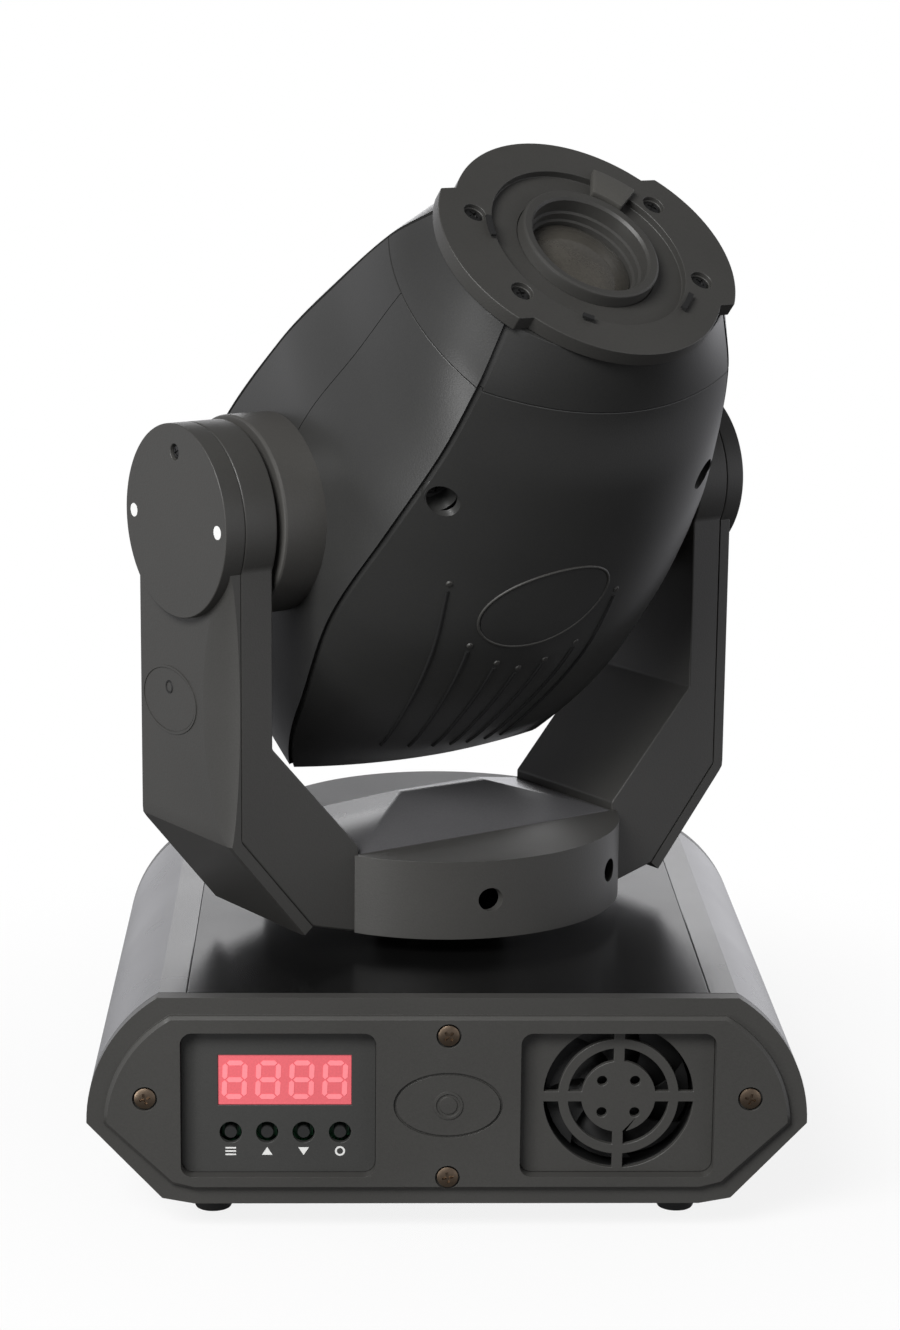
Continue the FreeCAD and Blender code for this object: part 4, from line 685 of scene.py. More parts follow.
class Beading:
    """A tree that runs a round bead along the edges of a carrier."""

    def __init__(self) -> None:
        """Build the tree with its named inputs."""
        self.tree = bpy.data.node_groups.new("beads_on_lines", "GeometryNodeTree")
        kinds = {"Lines": "Geometry", "Radius": "Float", "Finish": "Material"}
        _, self.radius, self.finish = ports(self.tree, "INPUT", kinds)
        ports(self.tree, "OUTPUT", {"Beads": "Geometry"})
        enter = node_of(self.tree, "NodeGroupInput")
        leave = node_of(self.tree, "NodeGroupOutput")
        curve = node_of(self.tree, "GeometryNodeMeshToCurve")
        profile = node_of(self.tree, "GeometryNodeCurvePrimitiveCircle", {"Resolution": 8})
        sweep = node_of(self.tree, "GeometryNodeCurveToMesh", {"Fill Caps": True})
        real = node_of(self.tree, "GeometryNodeRealizeInstances")
        coat = node_of(self.tree, "GeometryNodeSetMaterial")
        wire(
            self.tree,
            (enter.outputs["Lines"], curve.inputs["Mesh"]),
            (enter.outputs["Radius"], profile.inputs["Radius"]),
            (curve.outputs[0], sweep.inputs["Curve"]),
            (profile.outputs[0], sweep.inputs["Profile Curve"]),
            (sweep.outputs[0], real.inputs[0]),
            (real.outputs[0], coat.inputs["Geometry"]),
            (enter.outputs["Finish"], coat.inputs["Material"]),
            (coat.outputs[0], leave.inputs[0]),
        )

    def run(self, name: str, lines: list[list[Vector]], radius: float, finish: Finish, body: Body,
            closed: bool = False) -> Piece:
        """Make one piece of beads.

        Args:
            name: The piece's name.
            lines: Each bead's points in the row frame, in metres.
            radius: The bead's radius in millimetres.
            finish: The piece's finish.
            body: The body it rides on.
            closed: Whether each line joins its own start.

        Returns:
            The piece.
        """
        points: list[Vector] = []
        edges: list[tuple[int, int]] = []
        for line in lines:
            start = len(points)
            points.extend(line)
            edges.extend((start + i, start + i + 1) for i in range(len(line) - 1))
            if closed:
                edges.append((start + len(line) - 1, start))
        mesh = bpy.data.meshes.new(name)
        mesh.from_pydata([tuple(point) for point in points], edges, [])
        piece = linked(name, mesh)
        modifier = piece.modifiers.new("beads", "NODES")
        modifier.node_group = self.tree
        modifier[self.radius.identifier] = radius * MM
        modifier[self.finish.identifier] = finish.material()
        settled(piece)
        return dressed(smoothed(piece, 50), finish, body)


SCATTER = Scatter()
BEADING = Beading()


def screw_template(head: float, height: float, recess: float) -> Piece:
    """Model a pan-head screw with a cross recess, looking along +Z.

    Args:
        head: The head's radius in millimetres.
        height: How high the head stands.
        recess: Half the length of the cross.

    Returns:
        The template object.
    """
    shape = bmesh.new()
    crown = [(0, height)] + [(head * math.sin(turn), height * (0.55 + 0.45 * math.cos(turn)))
                             for turn in (0.45, 0.9, 1.3)] + [(head, 0), (head * 0.45, 0), (head * 0.45, -3), (0, -3)]
    revolve(shape, crown, 28)
    body = from_bmesh("screw_body", shape, BASE_FRAME)
    tool = bmesh.new()
    half = recess * 0.24
    slab(tool, [(half, half), (half, recess), (-half, recess), (-half, half), (-recess, half), (-recess, -half),
                (-half, -half), (-half, -recess), (half, -recess), (half, -half), (recess, -half), (recess, half)],
         height * 0.35, height * 2)
    cutter = from_bmesh("screw_cross", tool, BASE_FRAME)
    cross = body.modifiers.new("cross", "BOOLEAN")
    cross.object = cutter
    cross.operation = "DIFFERENCE"
    settled(body)
    bpy.data.objects.remove(cutter)
    return body


def facing(where: Matrix, x: float, y: float, z: float, look: Vector, spin: float = 0.0) -> Matrix:
    """Matrix of a copy at a place in millimetres, whose Z axis looks a given way with a spin about it."""
    turn = look.to_track_quat("Z", "Y").to_matrix().to_4x4()
    return where @ Matrix.Translation(Vector((x, y, z)) * MM) @ turn @ Matrix.Rotation(spin, 4, "Z")


# ------------------------------------------------------------------ base


@dataclass
class Base:
    """The squat casing: panels, controls, fan, sockets, feet and the pan drive inside."""

    screw_across: float = 113.0
    screw_middle: float = 54.5
    screw_high: float = 79.1
    screw_low: float = 23.4
    emblem_height: float = 52.0
    button_height: float = 39.4
    button_first: float = -81.3
    button_pitch: float = 13.65
    fan_x: float = 64.0
    fan_z: float = 53.5
    digit_pitch: float = 12.5
    digit_width: float = 7.4
    digit_height: float = 13.2

    def panels(self) -> None:
        """Finish the casing's panels from their CAD shapes."""
        for node, finish, width, angle in (
            # the top plate's near-black finish is partly painted shade
            ("base_pan", Finishes.CASING, 0.5, 34), ("top_plate", Finishes.TOP, 0.5, 34),
            ("side_cover_left", Finishes.FLANK, 0.5, 20), ("side_cover_right", Finishes.FLANK, 0.5, 20),
            ("front_bezel", Finishes.CASING, 0.6, 34), ("rear_panel", Finishes.CASING, 0.6, 34),
            ("control_plate", Finishes.PANEL, 0.3, 34), ("fan_grille", Finishes.CASING, 0.35, 34),
            ("rubber_feet", Finishes.RUBBER, 1.0, 34),
        ):
            refined(node, finish, Body.BASE, width, angle)

    def screws(self) -> None:
        """Set the brass-coloured screws of both end panels."""
        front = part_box("front_bezel")[0].y / MM + 1.7
        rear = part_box("rear_panel")[1].y / MM - 1.7
        spots = [(-self.screw_across, self.screw_middle), (self.screw_across, self.screw_middle),
                 (0.0, self.screw_high), (0.0, self.screw_low)]
        places = [facing(BASE_FRAME, x, front, z, Vector((0, -1, 0)), 0.3 + i) for i, (x, z) in enumerate(spots)]
        places += [facing(BASE_FRAME, x, rear, z, Vector((0, 1, 0)), 0.7 + i) for i, (x, z) in enumerate(spots)]
        SCATTER.spread("panel_screws", screw_template(4.1, 1.9, 2.1), places, Finishes.SCREW, Body.BASE,
                       ("base_screws",))

    def emblem(self) -> None:
        """Put the small round boss in the middle of the front oval."""
        shape = bmesh.new()
        revolve(shape, [(0, 0.55), (3.2, 0.45), (3.6, -0.1), (4.2, -0.1), (4.6, 0.5), (5.4, 0.45), (5.8, -0.6),
                        (0, -0.6)])
        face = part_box("front_bezel")[0].y / MM
        where = facing(BASE_FRAME, 0, face, self.emblem_height, Vector((0, -1, 0)))
        built("front_boss", shape, where, Finishes.CASING, Body.BASE)

    def display(self) -> None:
        """Light the four digits behind the red window."""
        low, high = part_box("display_window")
        centre_x, centre_z = (low.x + high.x) / 2 / MM, (low.z + high.z) / 2 / MM
        face = low.y / MM - 0.02
        shape = bmesh.new()
        long, half = self.digit_width / 2 - 0.6, 0.95
        slab(shape, [(-long, 0), (-long + half, -half), (long - half, -half), (long, 0), (long - half, half),
                     (-long + half, half)], -0.05, 0.12)
        segment = from_bmesh("digit_segment", shape, BASE_FRAME)
        lean = 0.04
        places = []
        for digit in range(4):
            middle = centre_x + (digit - 1.5) * self.digit_pitch
            for dx, dz, upright in self._segments():
                x = middle + dx + dz * lean
                spin = math.pi / 2 - lean if upright else 0.0
                places.append(facing(BASE_FRAME, x, face, centre_z + dz, Vector((0, -1, 0)), spin))
        SCATTER.spread("display_digits", segment, places, Finishes.DIGITS, Body.BASE)
        refined("display_window", Finishes.RED, Body.BASE, 0.2)

    def _segments(self) -> list[tuple[float, float, bool]]:
        """Place a digit's seven bars.

        Returns:
            For each bar its place across and up from the digit's middle, and whether it stands upright.
        """
        side, quarter = self.digit_width / 2, self.digit_height / 4
        level = [(0.0, step * 2 * quarter, False) for step in (-1, 0, 1)]
        upright = [(i * side, j * quarter, True) for i in (-1, 1) for j in (-1, 1)]
        return level + upright

    def marks(self) -> None:
        """Print a plain sign under each button: three bars, two arrows and a ring."""
        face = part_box("control_plate")[0].y / MM - 0.03
        height = self.button_height - 7.4
        shape = bmesh.new()
        xs = [self.button_first + i * self.button_pitch for i in range(4)]
        for i in (-1, 0, 1):
            slab(shape, [(xs[0] - 2, i * 1.3 - 0.3), (xs[0] + 2, i * 1.3 - 0.3), (xs[0] + 2, i * 1.3 + 0.3),
                         (xs[0] - 2, i * 1.3 + 0.3)], 0, 0.06)
        slab(shape, [(xs[1] - 2, -1.5), (xs[1] + 2, -1.5), (xs[1], 1.6)], 0, 0.06)
        slab(shape, [(xs[2] - 2, 1.5), (xs[2], -1.6), (xs[2] + 2, 1.5)], 0, 0.06)
        outer = [(xs[3] + x, y) for x, y in oval(1.9, 1.9, 32)]
        inner = [(xs[3] + x, y) for x, y in oval(1.2, 1.2, 32)]
        band(shape, outer, inner, 0, 0.06)
        where = BASE_FRAME @ Matrix.Translation(Vector((0, face, height)) * MM) @ Matrix.Rotation(math.pi / 2, 4, "X")
        dressed(from_bmesh("panel_marks", shape, where), Finishes.INK, Body.BASE)

    def fan(self) -> None:
        """Finish the fan behind the grille and give its rotor curved blades."""
        # The fan frame and rotor take the near-black fan finish, which paints the shade behind the grille.
        refined("base_fan_frame", Finishes.FAN, Body.BASE, 0.3)
        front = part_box("base_fan_rotor")[0].y / MM + 0.4
        where = facing(BASE_FRAME, self.fan_x, front, self.fan_z, Vector((0, 1, 0)))
        rotor("base_fan_wheel", where, 11.6, 27.0, 8.6, Body.BASE_FAN, "base_fan_rotor")

    def sockets(self) -> None:
        """Finish the inlet and the two data sockets on the rear panel."""
        refined("power_inlet", Finishes.SOCKET, Body.BASE, 0.4)
        for name in ("dmx_input_socket", "dmx_output_socket"):
            refined(name, Finishes.SOCKET, Body.BASE, 0.4)
            low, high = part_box(name)
            x = (low.x + high.x) / 2 / MM
            z = (low.z + high.z) / 2 / MM
            places = [facing(BASE_FRAME, x + i * 10, high.y / MM, z + j * 12.5, Vector((0, 1, 0)), 0.4 + i + j)
                      for i, j in ((-1, 1), (1, -1))]
            SCATTER.spread(f"{name}_screws", screw_template(2.2, 1.0, 1.2), places, Finishes.BLACK_SCREW, Body.BASE)

    def louvres(self) -> None:
        """Press a row of cooling louvres beside the sockets on the rear panel."""
        shape = bmesh.new()
        slab(shape, [(-1.2, -12), (1.2, -12), (1.2, 12), (-1.2, 12)], -0.4, 0.9)
        slat = edge_rounded(from_bmesh("louvre_slat", shape, BASE_FRAME), 0.5)
        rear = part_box("rear_panel")[1].y / MM
        places = [facing(BASE_FRAME, -20 + i * 4.5, rear, 52, Vector((0, 1, 0))) for i in range(-2, 3)]
        SCATTER.spread("rear_louvres", slat, places, Finishes.CASING, Body.BASE)

    def inside(self) -> None:
        """Coat the pieces inside the casing."""
        for finish, node in (
            (Finishes.MODULE, "display_module"), (Finishes.BOARD, "control_board"), (Finishes.ZINC, "power_supply"),
            (Finishes.STEEL, "pan_bearing"), (Finishes.MOTOR, "pan_motor"), (Finishes.BELT, "pan_belt"),
            (Finishes.ALUMINIUM, "pan_pinion"),
        ):
            coated(finish, node)
        coated(Finishes.BUTTON, *(f"button_{name}" for name in ("menu", "up", "down", "enter")))

    def build(self) -> None:
        """Build and dress every piece of the base."""
        self.panels()
        self.screws()
        self.emblem()
        self.display()
        self.marks()
        self.fan()
        self.sockets()
        self.louvres()
        self.inside()


def rotor(name: str, where: Matrix, hub: float, reach: float, depth: float, body: Body, node: str) -> None:
    """Build a fan rotor: a round hub and seven curved blades.

    Args:
        name: The stem of its pieces' names.
        where: Its frame, with Z along the shaft.
        hub: The hub's radius in millimetres.
        reach: The blades' outer radius.
        depth: How deep the rotor is.
        body: The body it rides on.
        node: The CAD node it replaces.
    """
    shape = bmesh.new()
    revolve(shape, [(1.6, 0.4), (hub - 1.2, 0), (hub, 1.2), (hub, depth - 0.4), (hub - 1.4, depth - 0.4),
                    (hub - 1.4, 1.6), (1.6, 1.6), (1.6, 0.4)])
    built(f"{name}_hub", shape, where, Finishes.FAN, body, node)
    blade = bmesh.new()
    rows = []
    for i in range(7):
        radius = hub - 0.6 + (reach - hub + 0.6) * i / 6
        half = 0.46 + 0.02 * i
        line = []
        for j in range(7):
            share = j / 6
            turn = (share - 0.5) * half * 2 - 0.05 * i
            line.append((radius * math.cos(turn), radius * math.sin(turn), 0.8 + (depth - 1.6) * share ** 1.3))
        rows.append([blade.verts.new(point) for point in line])
    bridge(blade, rows, closed=False)
    vane = from_bmesh(f"{name}_vane", blade, BASE_FRAME)
    thick = vane.modifiers.new("thickness", "SOLIDIFY")
    thick.thickness = 0.9 * MM
    thick.offset = 0
    settled(vane)
    places = [where @ Matrix.Rotation(2 * math.pi * i / 7, 4, "Z") for i in range(7)]
    SCATTER.spread(f"{name}_blades", vane, places, Finishes.FAN, body)


# ------------------------------------------------------------------ yoke


@dataclass
class Yoke:
    """The turntable drum, its bridge and the two arms with their round caps."""

    outer: float = 120.0
    half_depth: float = 33.0
    bend: float = 142.0
    heel_x: float = 87.0
    heel_z: float = 102.5
    flank_width: float = 17.0
    flank_least: float = 2.0
    flank_drop: float = 4.5
    cap_face: float = 123.5
    cap_radius: float = 36.7
    emblem_y: float = 11.0
    emblem_drop: float = 71.0
    dot_y: float = 30.6
    dot_radius: float = 2.6

    def __post_init__(self) -> None:
        """Read the tilt axis's height from the frame."""
        self.axis_height = TILT_CENTRE.z / MM

    def _flank_profile(self, share: float) -> Outline:
        """Cross-section of an arm cover: how far each point lies inside the outer face, and its depth.

        Args:
            share: How far down the straight part it lies, from 0 to 1.

        Returns:
            The points.
        """
        width = self.flank_width * math.sin(math.pi * min(max(share, 0.0), 1.0)) ** 0.6 + self.flank_least
        begin = -self.half_depth + width
        drop = self.flank_drop * width / (self.flank_width + self.flank_least)
        front = [(0.0, begin)]
        steps = 6
        for i in range(1, steps + 1):
            part = i / steps
            front.append((drop * (0.55 * part + 0.45 * part ** 3), begin - width * part))
        front.append((4.8, -self.half_depth))
        back = [(4.8, self.half_depth), (0.4, self.half_depth), (0.1, self.half_depth - 0.1),
                (0.0, self.half_depth - 0.4), (0.0, 12.0), (0.0, begin + 0.6)]
        return back + front

    def cover(self, side: Side) -> None:
        """Sweep one arm cover down the arm's outer line.

        Args:
            side: Which arm.
        """
        name = f"arm_{side.word}_cover"
        start = self.axis_height - math.sqrt(self.cap_radius ** 2 - self.half_depth ** 2)
        line = [Vector((self.outer, start)), Vector((self.outer, self.bend)), Vector((self.heel_x, self.heel_z))]
        shape = bmesh.new()
        rows = []
        for point, normal in self._rounded_line(line):
            row = []
            for inside, depth in self._flank_profile((start - point.y) / (start - self.bend)):
                spot = point - normal * inside
                row.append(shape.verts.new((spot.x * side.value, -depth * side.value, spot.y)))
            rows.append(row)
        bridge(shape, rows)
        shape.faces.new(rows[0])
        shape.faces.new(list(reversed(rows[-1])))
        built(f"{name}_shaped", shape, YOKE_FRAME, Finishes.YOKE, Body.YOKE, name, angle=9)

    def _rounded_line(self, line: list[Vector]) -> list[tuple[Vector, Vector]]:
        """Points down the arm's outer line, with the normal that sets the thickness at each.

        Args:
            line: The start, the bend and the heel.

        Returns:
            Pairs of a point and its outward normal.
        """
        down = (line[1] - line[0]).normalized()
        slant = (line[2] - line[1]).normalized()
        first, second = Vector((-down.y, down.x)), Vector((-slant.y, slant.x))
        steps = 28
        pairs = [(line[0].lerp(line[1] - down * 2.5, i / steps), first) for i in range(steps + 1)]
        middle = (first + second).normalized()
        pairs.append((line[1] - middle * 0.25, middle / middle.dot(first)))
        pairs += [(line[1] + slant * 2.5, second), (line[2], second)]
        return pairs

    def emblem(self, side: Side) -> None:
        """Lay the shallow oval on an arm cover, with its screw well in a near-black finish as painted shade.

        Args:
            side: Which arm.
        """
        shape = bmesh.new()
        band(shape, oval(20.0, 13.2), oval(19.1, 12.3), -0.3, 0.35)
        slab(shape, oval(18.7, 11.9), -0.3, 0.12)
        look = Vector((side.value, 0, 0))
        across = -side.value * self.emblem_y
        where = facing(YOKE_FRAME, side.value * self.outer, across, self.axis_height - self.emblem_drop, look)
        turned = where @ Matrix.Rotation(0 if side is Side.RIGHT else math.pi, 4, "Z")
        built(f"arm_{side.word}_oval", shape, turned, Finishes.YOKE, Body.YOKE)
        well = bmesh.new()
        revolve(well, [(0, -0.2), (1.7, -0.2), (1.9, 0.35), (2.5, 0.4), (2.8, -0.3), (0, -0.3)])
        spot = facing(YOKE_FRAME, side.value * self.outer, across, self.axis_height - self.emblem_drop + 5.0, look)
        # The well's near-black finish is painted shade in the screw hole.
        built(f"arm_{side.word}_well", well, spot, Finishes.GROOVE, Body.YOKE)

    def marks(self, side: Side) -> None:
        """Print two plain white dots on a round cap.

        Args:
            side: Which arm.
        """
        shape = bmesh.new()
        for y in (-self.dot_y, self.dot_y):
            slab(shape, [(x + y, z) for x, z in oval(self.dot_radius, self.dot_radius, 32)], 0, 0.06)
        turn = Matrix((((0, 0, side.value), (side.value, 0, 0), (0, 1, 0)))).to_4x4()
        spot = Matrix.Translation(Vector((side.value * self.cap_face, 0, self.axis_height)) * MM)
        piece = from_bmesh(f"cap_dots_{side.word}", shape, YOKE_FRAME @ spot @ turn)
        dressed(piece, Finishes.YOKE_INK, Body.YOKE)

    def build(self) -> None:
        """Build and dress every piece of the yoke."""
        refined("yoke_drum", Finishes.YOKE, Body.YOKE, 0.9, 20)
        # The bridge cover's lighter finish is a painted sheen.
        refined("yoke_bridge_cover", Finishes.BRIDGE, Body.YOKE, 1.6, 50)
        for side in Side:
            stem = f"arm_{side.word}"
            refined(f"{stem}_frame", Finishes.YOKE, Body.YOKE, 0.8)
            refined(f"{stem}_cap", Finishes.YOKE, Body.YOKE, 0.9)
            self.cover(side)
            self.emblem(side)
            self.marks(side)
        top = self.axis_height + 26
        places = [facing(YOKE_FRAME, side.value * (self.cap_face - 1.9), 0, top, Vector((side.value, 0, 0)), 0.5)
                  for side in Side]
        SCATTER.spread("cap_screws", screw_template(2.6, 1.1, 1.5), places, Finishes.BLACK_SCREW, Body.YOKE,
                       ("arm_screws",))
        coated(Finishes.STEEL, "pan_spindle", "tilt_bearings")
        coated(Finishes.ALUMINIUM, "pan_pulley", "tilt_pinion")
        coated(Finishes.MOTOR, "tilt_motor")
        coated(Finishes.BELT, "tilt_belt")


# ------------------------------------------------------------------ head


@dataclass(frozen=True)
class Station:
    """One cross-section of the head, in millimetres: two wide arcs and two flat cheeks."""

    place: float
    corner_x: float
    corner_y: float
    apex: float
    cheek: float
    drop: float


@dataclass
class HeadForm:
    """The head's outer surface as a smooth run of stations along the optical axis."""

    stations: tuple[Station, ...] = (
        Station(-101, 48, 44, 48, 51, 1), Station(-92, 61, 55, 60, 63.5, 2), Station(-50, 75, 55, 76.5, 77.5, 3),
        Station(0, 80, 50.5, 82.5, 82, 3), Station(45, 74, 49, 75, 80.5, 3), Station(80, 65.5, 45, 67, 73, 3),
        Station(110, 58, 38.5, 54.5, 67.5, 2), Station(132, 49.5, 28.5, 50, 59.5, 0.5),
    )
    groove_half: float = 1.15
    groove_depth: float = 1.8

    def at(self, place: float) -> Station:
        """Blend the stations at a place along the axis.

        Args:
            place: The place, in millimetres from the tilt axis.

        Returns:
            The cross-section there.
        """
        rows = self.stations
        i = max(k for k in range(len(rows) - 1) if k == 0 or rows[k].place <= place)
        share = (place - rows[i].place) / (rows[i + 1].place - rows[i].place)
        names = ("corner_x", "corner_y", "apex", "cheek", "drop")
        return Station(place, *(self._blend(name, i, share) for name in names))

    def _blend(self, name: str, i: int, share: float) -> float:
        """Interpolate one measure by a cubic whose slopes keep its rises and falls.

        Args:
            name: The measure's field in a station.
            i: Number of the station before the place.
            share: How far the place lies towards the next station, from 0 to 1.

        Returns:
            The measure there, in millimetres.
        """
        rows = self.stations
        value = [getattr(row, name) for row in rows]
        span = rows[i + 1].place - rows[i].place
        low, high = self._slope(value, i) * span, self._slope(value, i + 1) * span
        square, cube = share * share, share ** 3
        return (value[i] * (2 * cube - 3 * square + 1) + low * (cube - 2 * square + share)
                + value[i + 1] * (3 * square - 2 * cube) + high * (cube - square))

    def _slope(self, value: list[float], i: int) -> float:
        """Take a measure's slope at a station: the harmonic mean of the slopes on both sides.

        Args:
            value: The measure at every station.
            i: The station's number.

        Returns:
            The slope.
        """
        rows = self.stations
        steps = [(value[k + 1] - value[k]) / (rows[k + 1].place - rows[k].place) for k in range(len(rows) - 1)]
        if i in (0, len(rows) - 1):
            return steps[0] if i == 0 else steps[-1]
        before, after = steps[i - 1], steps[i]
        return 2 * before * after / (before + after) if before * after > 0 else 0.0

    def bottom(self, x: float, place: float) -> float:
        """Find the height of the lower surface.

        Args:
            x: The point's place across.
            place: Its place along the axis.

        Returns:
            The height, in millimetres.
        """
        here = self.at(place)
        rise = here.apex - here.corner_y
        radius = (here.corner_x ** 2 + rise ** 2) / (2 * rise)
        return -(here.apex - radius + math.sqrt(radius ** 2 - x ** 2)) - here.drop

    def outline(self, place: float, low: float, high: float, inset: float = 0.0,
                grooved: bool = True) -> list[Point]:
        """Half of the cross-section between two heights, from the right cheek over to the left.

        Args:
            place: The place along the axis.
            low: Height where the cheek starts, above the axis.
            high: 1 for the upper half, -1 for the lower.
            inset: How far inside the surface the points lie.
            grooved: Whether the corner grooves are cut.

        Returns:
            The points, in millimetres.
        """
        here = self.at(place)
        sink = self.groove_depth if grooved else 0.0
        a, b = here.corner_x, here.corner_y
        rise, bulge = here.apex - b, here.cheek - a
        wide = (a * a + rise * rise) / (2 * rise)
        flat = (b * b + bulge * bulge) / (2 * bulge)
        centre_y, centre_x = here.apex - wide, here.cheek - flat
        turn_wide = math.atan2(b - centre_y, a)
        turn_flat = math.atan2(b, a - centre_x)
        start = math.asin(max(min((low + here.drop) * high / flat, 1), -1))
        right: Outline = []
        steps = 9
        notch = self.groove_half
        end = turn_flat - 2.6 / flat
        for i in range(steps):
            turn = start + (end - start) * i / (steps - 1)
            right.append((centre_x + (flat - inset) * math.cos(turn), (flat - inset) * math.sin(turn)))
        side_normal = (math.cos(turn_flat) + math.cos(turn_wide), math.sin(turn_flat) + math.sin(turn_wide))
        length = math.hypot(*side_normal)
        inward = (-side_normal[0] / length, -side_normal[1] / length)
        for distance, sunk in ((notch + 0.12, False), (notch, True)):
            turn = turn_flat - distance / flat
            x, y = centre_x + (flat - inset) * math.cos(turn), (flat - inset) * math.sin(turn)
            depth = sink if sunk else 0.0
            right.append((x + inward[0] * depth, y + inward[1] * depth))
        over: Outline = []
        for distance, sunk in ((notch, True), (notch + 0.12, False), (2.6, False)):
            turn = turn_wide + distance / wide
            x, y = (wide - inset) * math.cos(turn), centre_y + (wide - inset) * math.sin(turn)
            depth = sink if sunk else 0.0
            over.append((x + inward[0] * depth, y + inward[1] * depth))
        first = turn_wide + 2.6 / wide
        crown = 24
        for i in range(1, crown):
            turn = first + (math.pi / 2 - first) * i / crown
            over.append(((wide - inset) * math.cos(turn), centre_y + (wide - inset) * math.sin(turn)))
        half = right + over
        whole = half + [(0.0, here.apex - inset)] + [(-x, y) for x, y in reversed(half)]
        return [(x, y * high - here.drop, place) for x, y in whole]


@dataclass
class Head:
    """The head: shells, collar, plate, cap and what shows of the optics."""

    form: HeadForm = field(default_factory=HeadForm)
    well_profile: Profile = ((0, 0), (4.6, 0), (5.55, 0.6), (5.55, 7.5), (6.2, 7.5), (6.2, -1.2), (0, -1.2))
    well_radius: float = 5.6
    sleeve_profile: Profile = (
        (20.8, 127.6), (20.8, 130.0), (21.8, 130.4), (21.9, 133.0), (22.9, 133.5), (23.1, 138.6), (23.9, 139.7),
        (26.4, 140.0), (27.2, 139.6), (27.5, 138.9), (27.5, 111.6), (26.9, 110.6), (20.0, 110.6), (19.4, 111.4),
        (19.4, 127.6), (20.8, 127.6),
    )
    throat_profile: Profile = ((0, 96.0), (11.0, 96.0), (12.0, 99.0), (17.0, 104.0), (19.0, 110.5), (20.0, 110.5),
                               (20.0, 94.0), (0, 94.0))
    dome_radius: float = 20.5
    dome_edge: float = 128.4
    dome_rise: float = 4.6
    dome_reach: float = 0.95
    split: float = 8.0
    nose: float = 110.0
    tail: float = -92.0
    rear: float = -101.0
    collar_end: float = 131.9
    wall: float = 2.4
    seam: float = 0.15
    screw_x: float = 61.0
    screw_place: float = 67.0
    screw_floor: float = -47.6
    plate_screw: Point = (41.3, 19.6, 135.4)
    notch_radii: tuple[float, float] = (42.2, 40.2)
    pad_radii: tuple[float, float] = (42.5, 29.0)
    hub_core: float = 30.0
    hub_swell: float = 4.2
    rib_foot: float = 64.0
    rib_lean: float = 0.25
    badge_x: float = -8.5
    badge_place: float = 28.5
    badge_long: float = 26.5
    badge_short: float = 17.5
    badge_slope: float = 0.22

    def _ring(self, place: float, halves: tuple[int, ...], inset: float, grooved: bool) -> list[Point]:
        """Make one cross-section of a shell, or of the whole head.

        Args:
            place: The place along the axis.
            halves: 1 for the upper half, -1 for the lower, or both.
            inset: How far inside the surface the points lie.
            grooved: Whether the corner grooves are cut.

        Returns:
            An open line for one half, or a closed ring for both.
        """
        if len(halves) == 1:
            half = halves[0]
            return self.form.outline(place, self.split + self.seam * half, half, inset, grooved)
        upper, lower = (self.form.outline(place, 0.0, half, inset, grooved) for half in (1, -1))
        return upper + list(reversed(lower))[1:-1]

    def _skin(self, name: str, start: float, end: float, halves: tuple[int, ...], rows: int = 72) -> Piece:
        """Make a walled piece of the head's surface.

        Args:
            name: The piece's name.
            start: Where it starts along the axis.
            end: Where it ends.
            halves: 1 for the upper half, -1 for the lower, or both.
            rows: How many rows of faces it has.

        Returns:
            The piece as a closed wall.
        """
        shape = bmesh.new()
        lip = 0.15
        places = [start, start + lip] + [start + (end - start) * i / rows for i in range(1, rows)] + [end - lip, end]
        outer, inner = [], []
        for place in places:
            inset = lip if place in (start, end) else 0.0
            outer.append([shape.verts.new(point) for point in self._ring(place, halves, inset, True)])
            inner.append([shape.verts.new(point) for point in self._ring(place, halves, self.wall, False)])
        count = len(outer[0])
        closed = len(halves) == 2
        for i in range(count if closed else count - 1):
            k = (i + 1) % count
            for rings in (outer, inner):
                for first, second in zip(rings, rings[1:]):
                    shape.faces.new((first[i], first[k], second[k], second[i]))
            for j in (0, -1):
                shape.faces.new((outer[j][i], outer[j][k], inner[j][k], inner[j][i]))
        if not closed:
            for i in (0, -1):
                for j in range(len(outer) - 1):
                    shape.faces.new((outer[j][i], outer[j + 1][i], inner[j + 1][i], inner[j][i]))
        return from_bmesh(name, shape, HEAD_FRAME)

    def shells(self) -> None:
        """Build both shells, with the screw wells in the lower one."""
        upper = self._skin("upper_shell", self.tail + self.seam, self.nose - self.seam, (1,))
        dressed(smoothed(upper, 28), Finishes.SHELL, Body.HEAD, "head_shell_upper")
        lower = self._skin("lower_shell", self.tail + self.seam, self.nose - self.seam, (-1,))
        for side in Side:
            tool = bmesh.new()
            revolve(tool, [(0, 0), (self.well_radius, 0), (self.well_radius, 40), (0, 40)], 40)
            spot = facing(HEAD_FRAME, side.value * self.screw_x, self.screw_floor, self.screw_place,
                          Vector((0, -1, 0)))
            cutter = from_bmesh("well_tool", tool, spot)
            hole = lower.modifiers.new("well", "BOOLEAN")
            hole.object = cutter
            hole.operation = "DIFFERENCE"
            settled(lower)
            bpy.data.objects.remove(cutter)
            cup = bmesh.new()
            revolve(cup, self.well_profile, 40)
            piece = from_bmesh(f"screw_well_{side.word}", cup, spot)
            self._trim_cup(piece)
            dressed(smoothed(piece), Finishes.SHELL, Body.HEAD)
        dressed(smoothed(lower, 28), Finishes.SHELL, Body.HEAD, "head_shell_lower")

    def _trim_cup(self, piece: Piece) -> None:
        """Keep a screw well's wall below the shell's surface.

        Args:
            piece: The well, whose vertices are moved.
        """
        inverse = HEAD_FRAME.inverted()
        for vertex in piece.data.vertices:
            spot = (inverse @ vertex.co) / MM
            surface = self.form.bottom(max(min(spot.x, 66), -66), spot.z) + 0.5
            if spot.y < surface:
                spot.y = surface
                vertex.co = HEAD_FRAME @ (spot * MM)

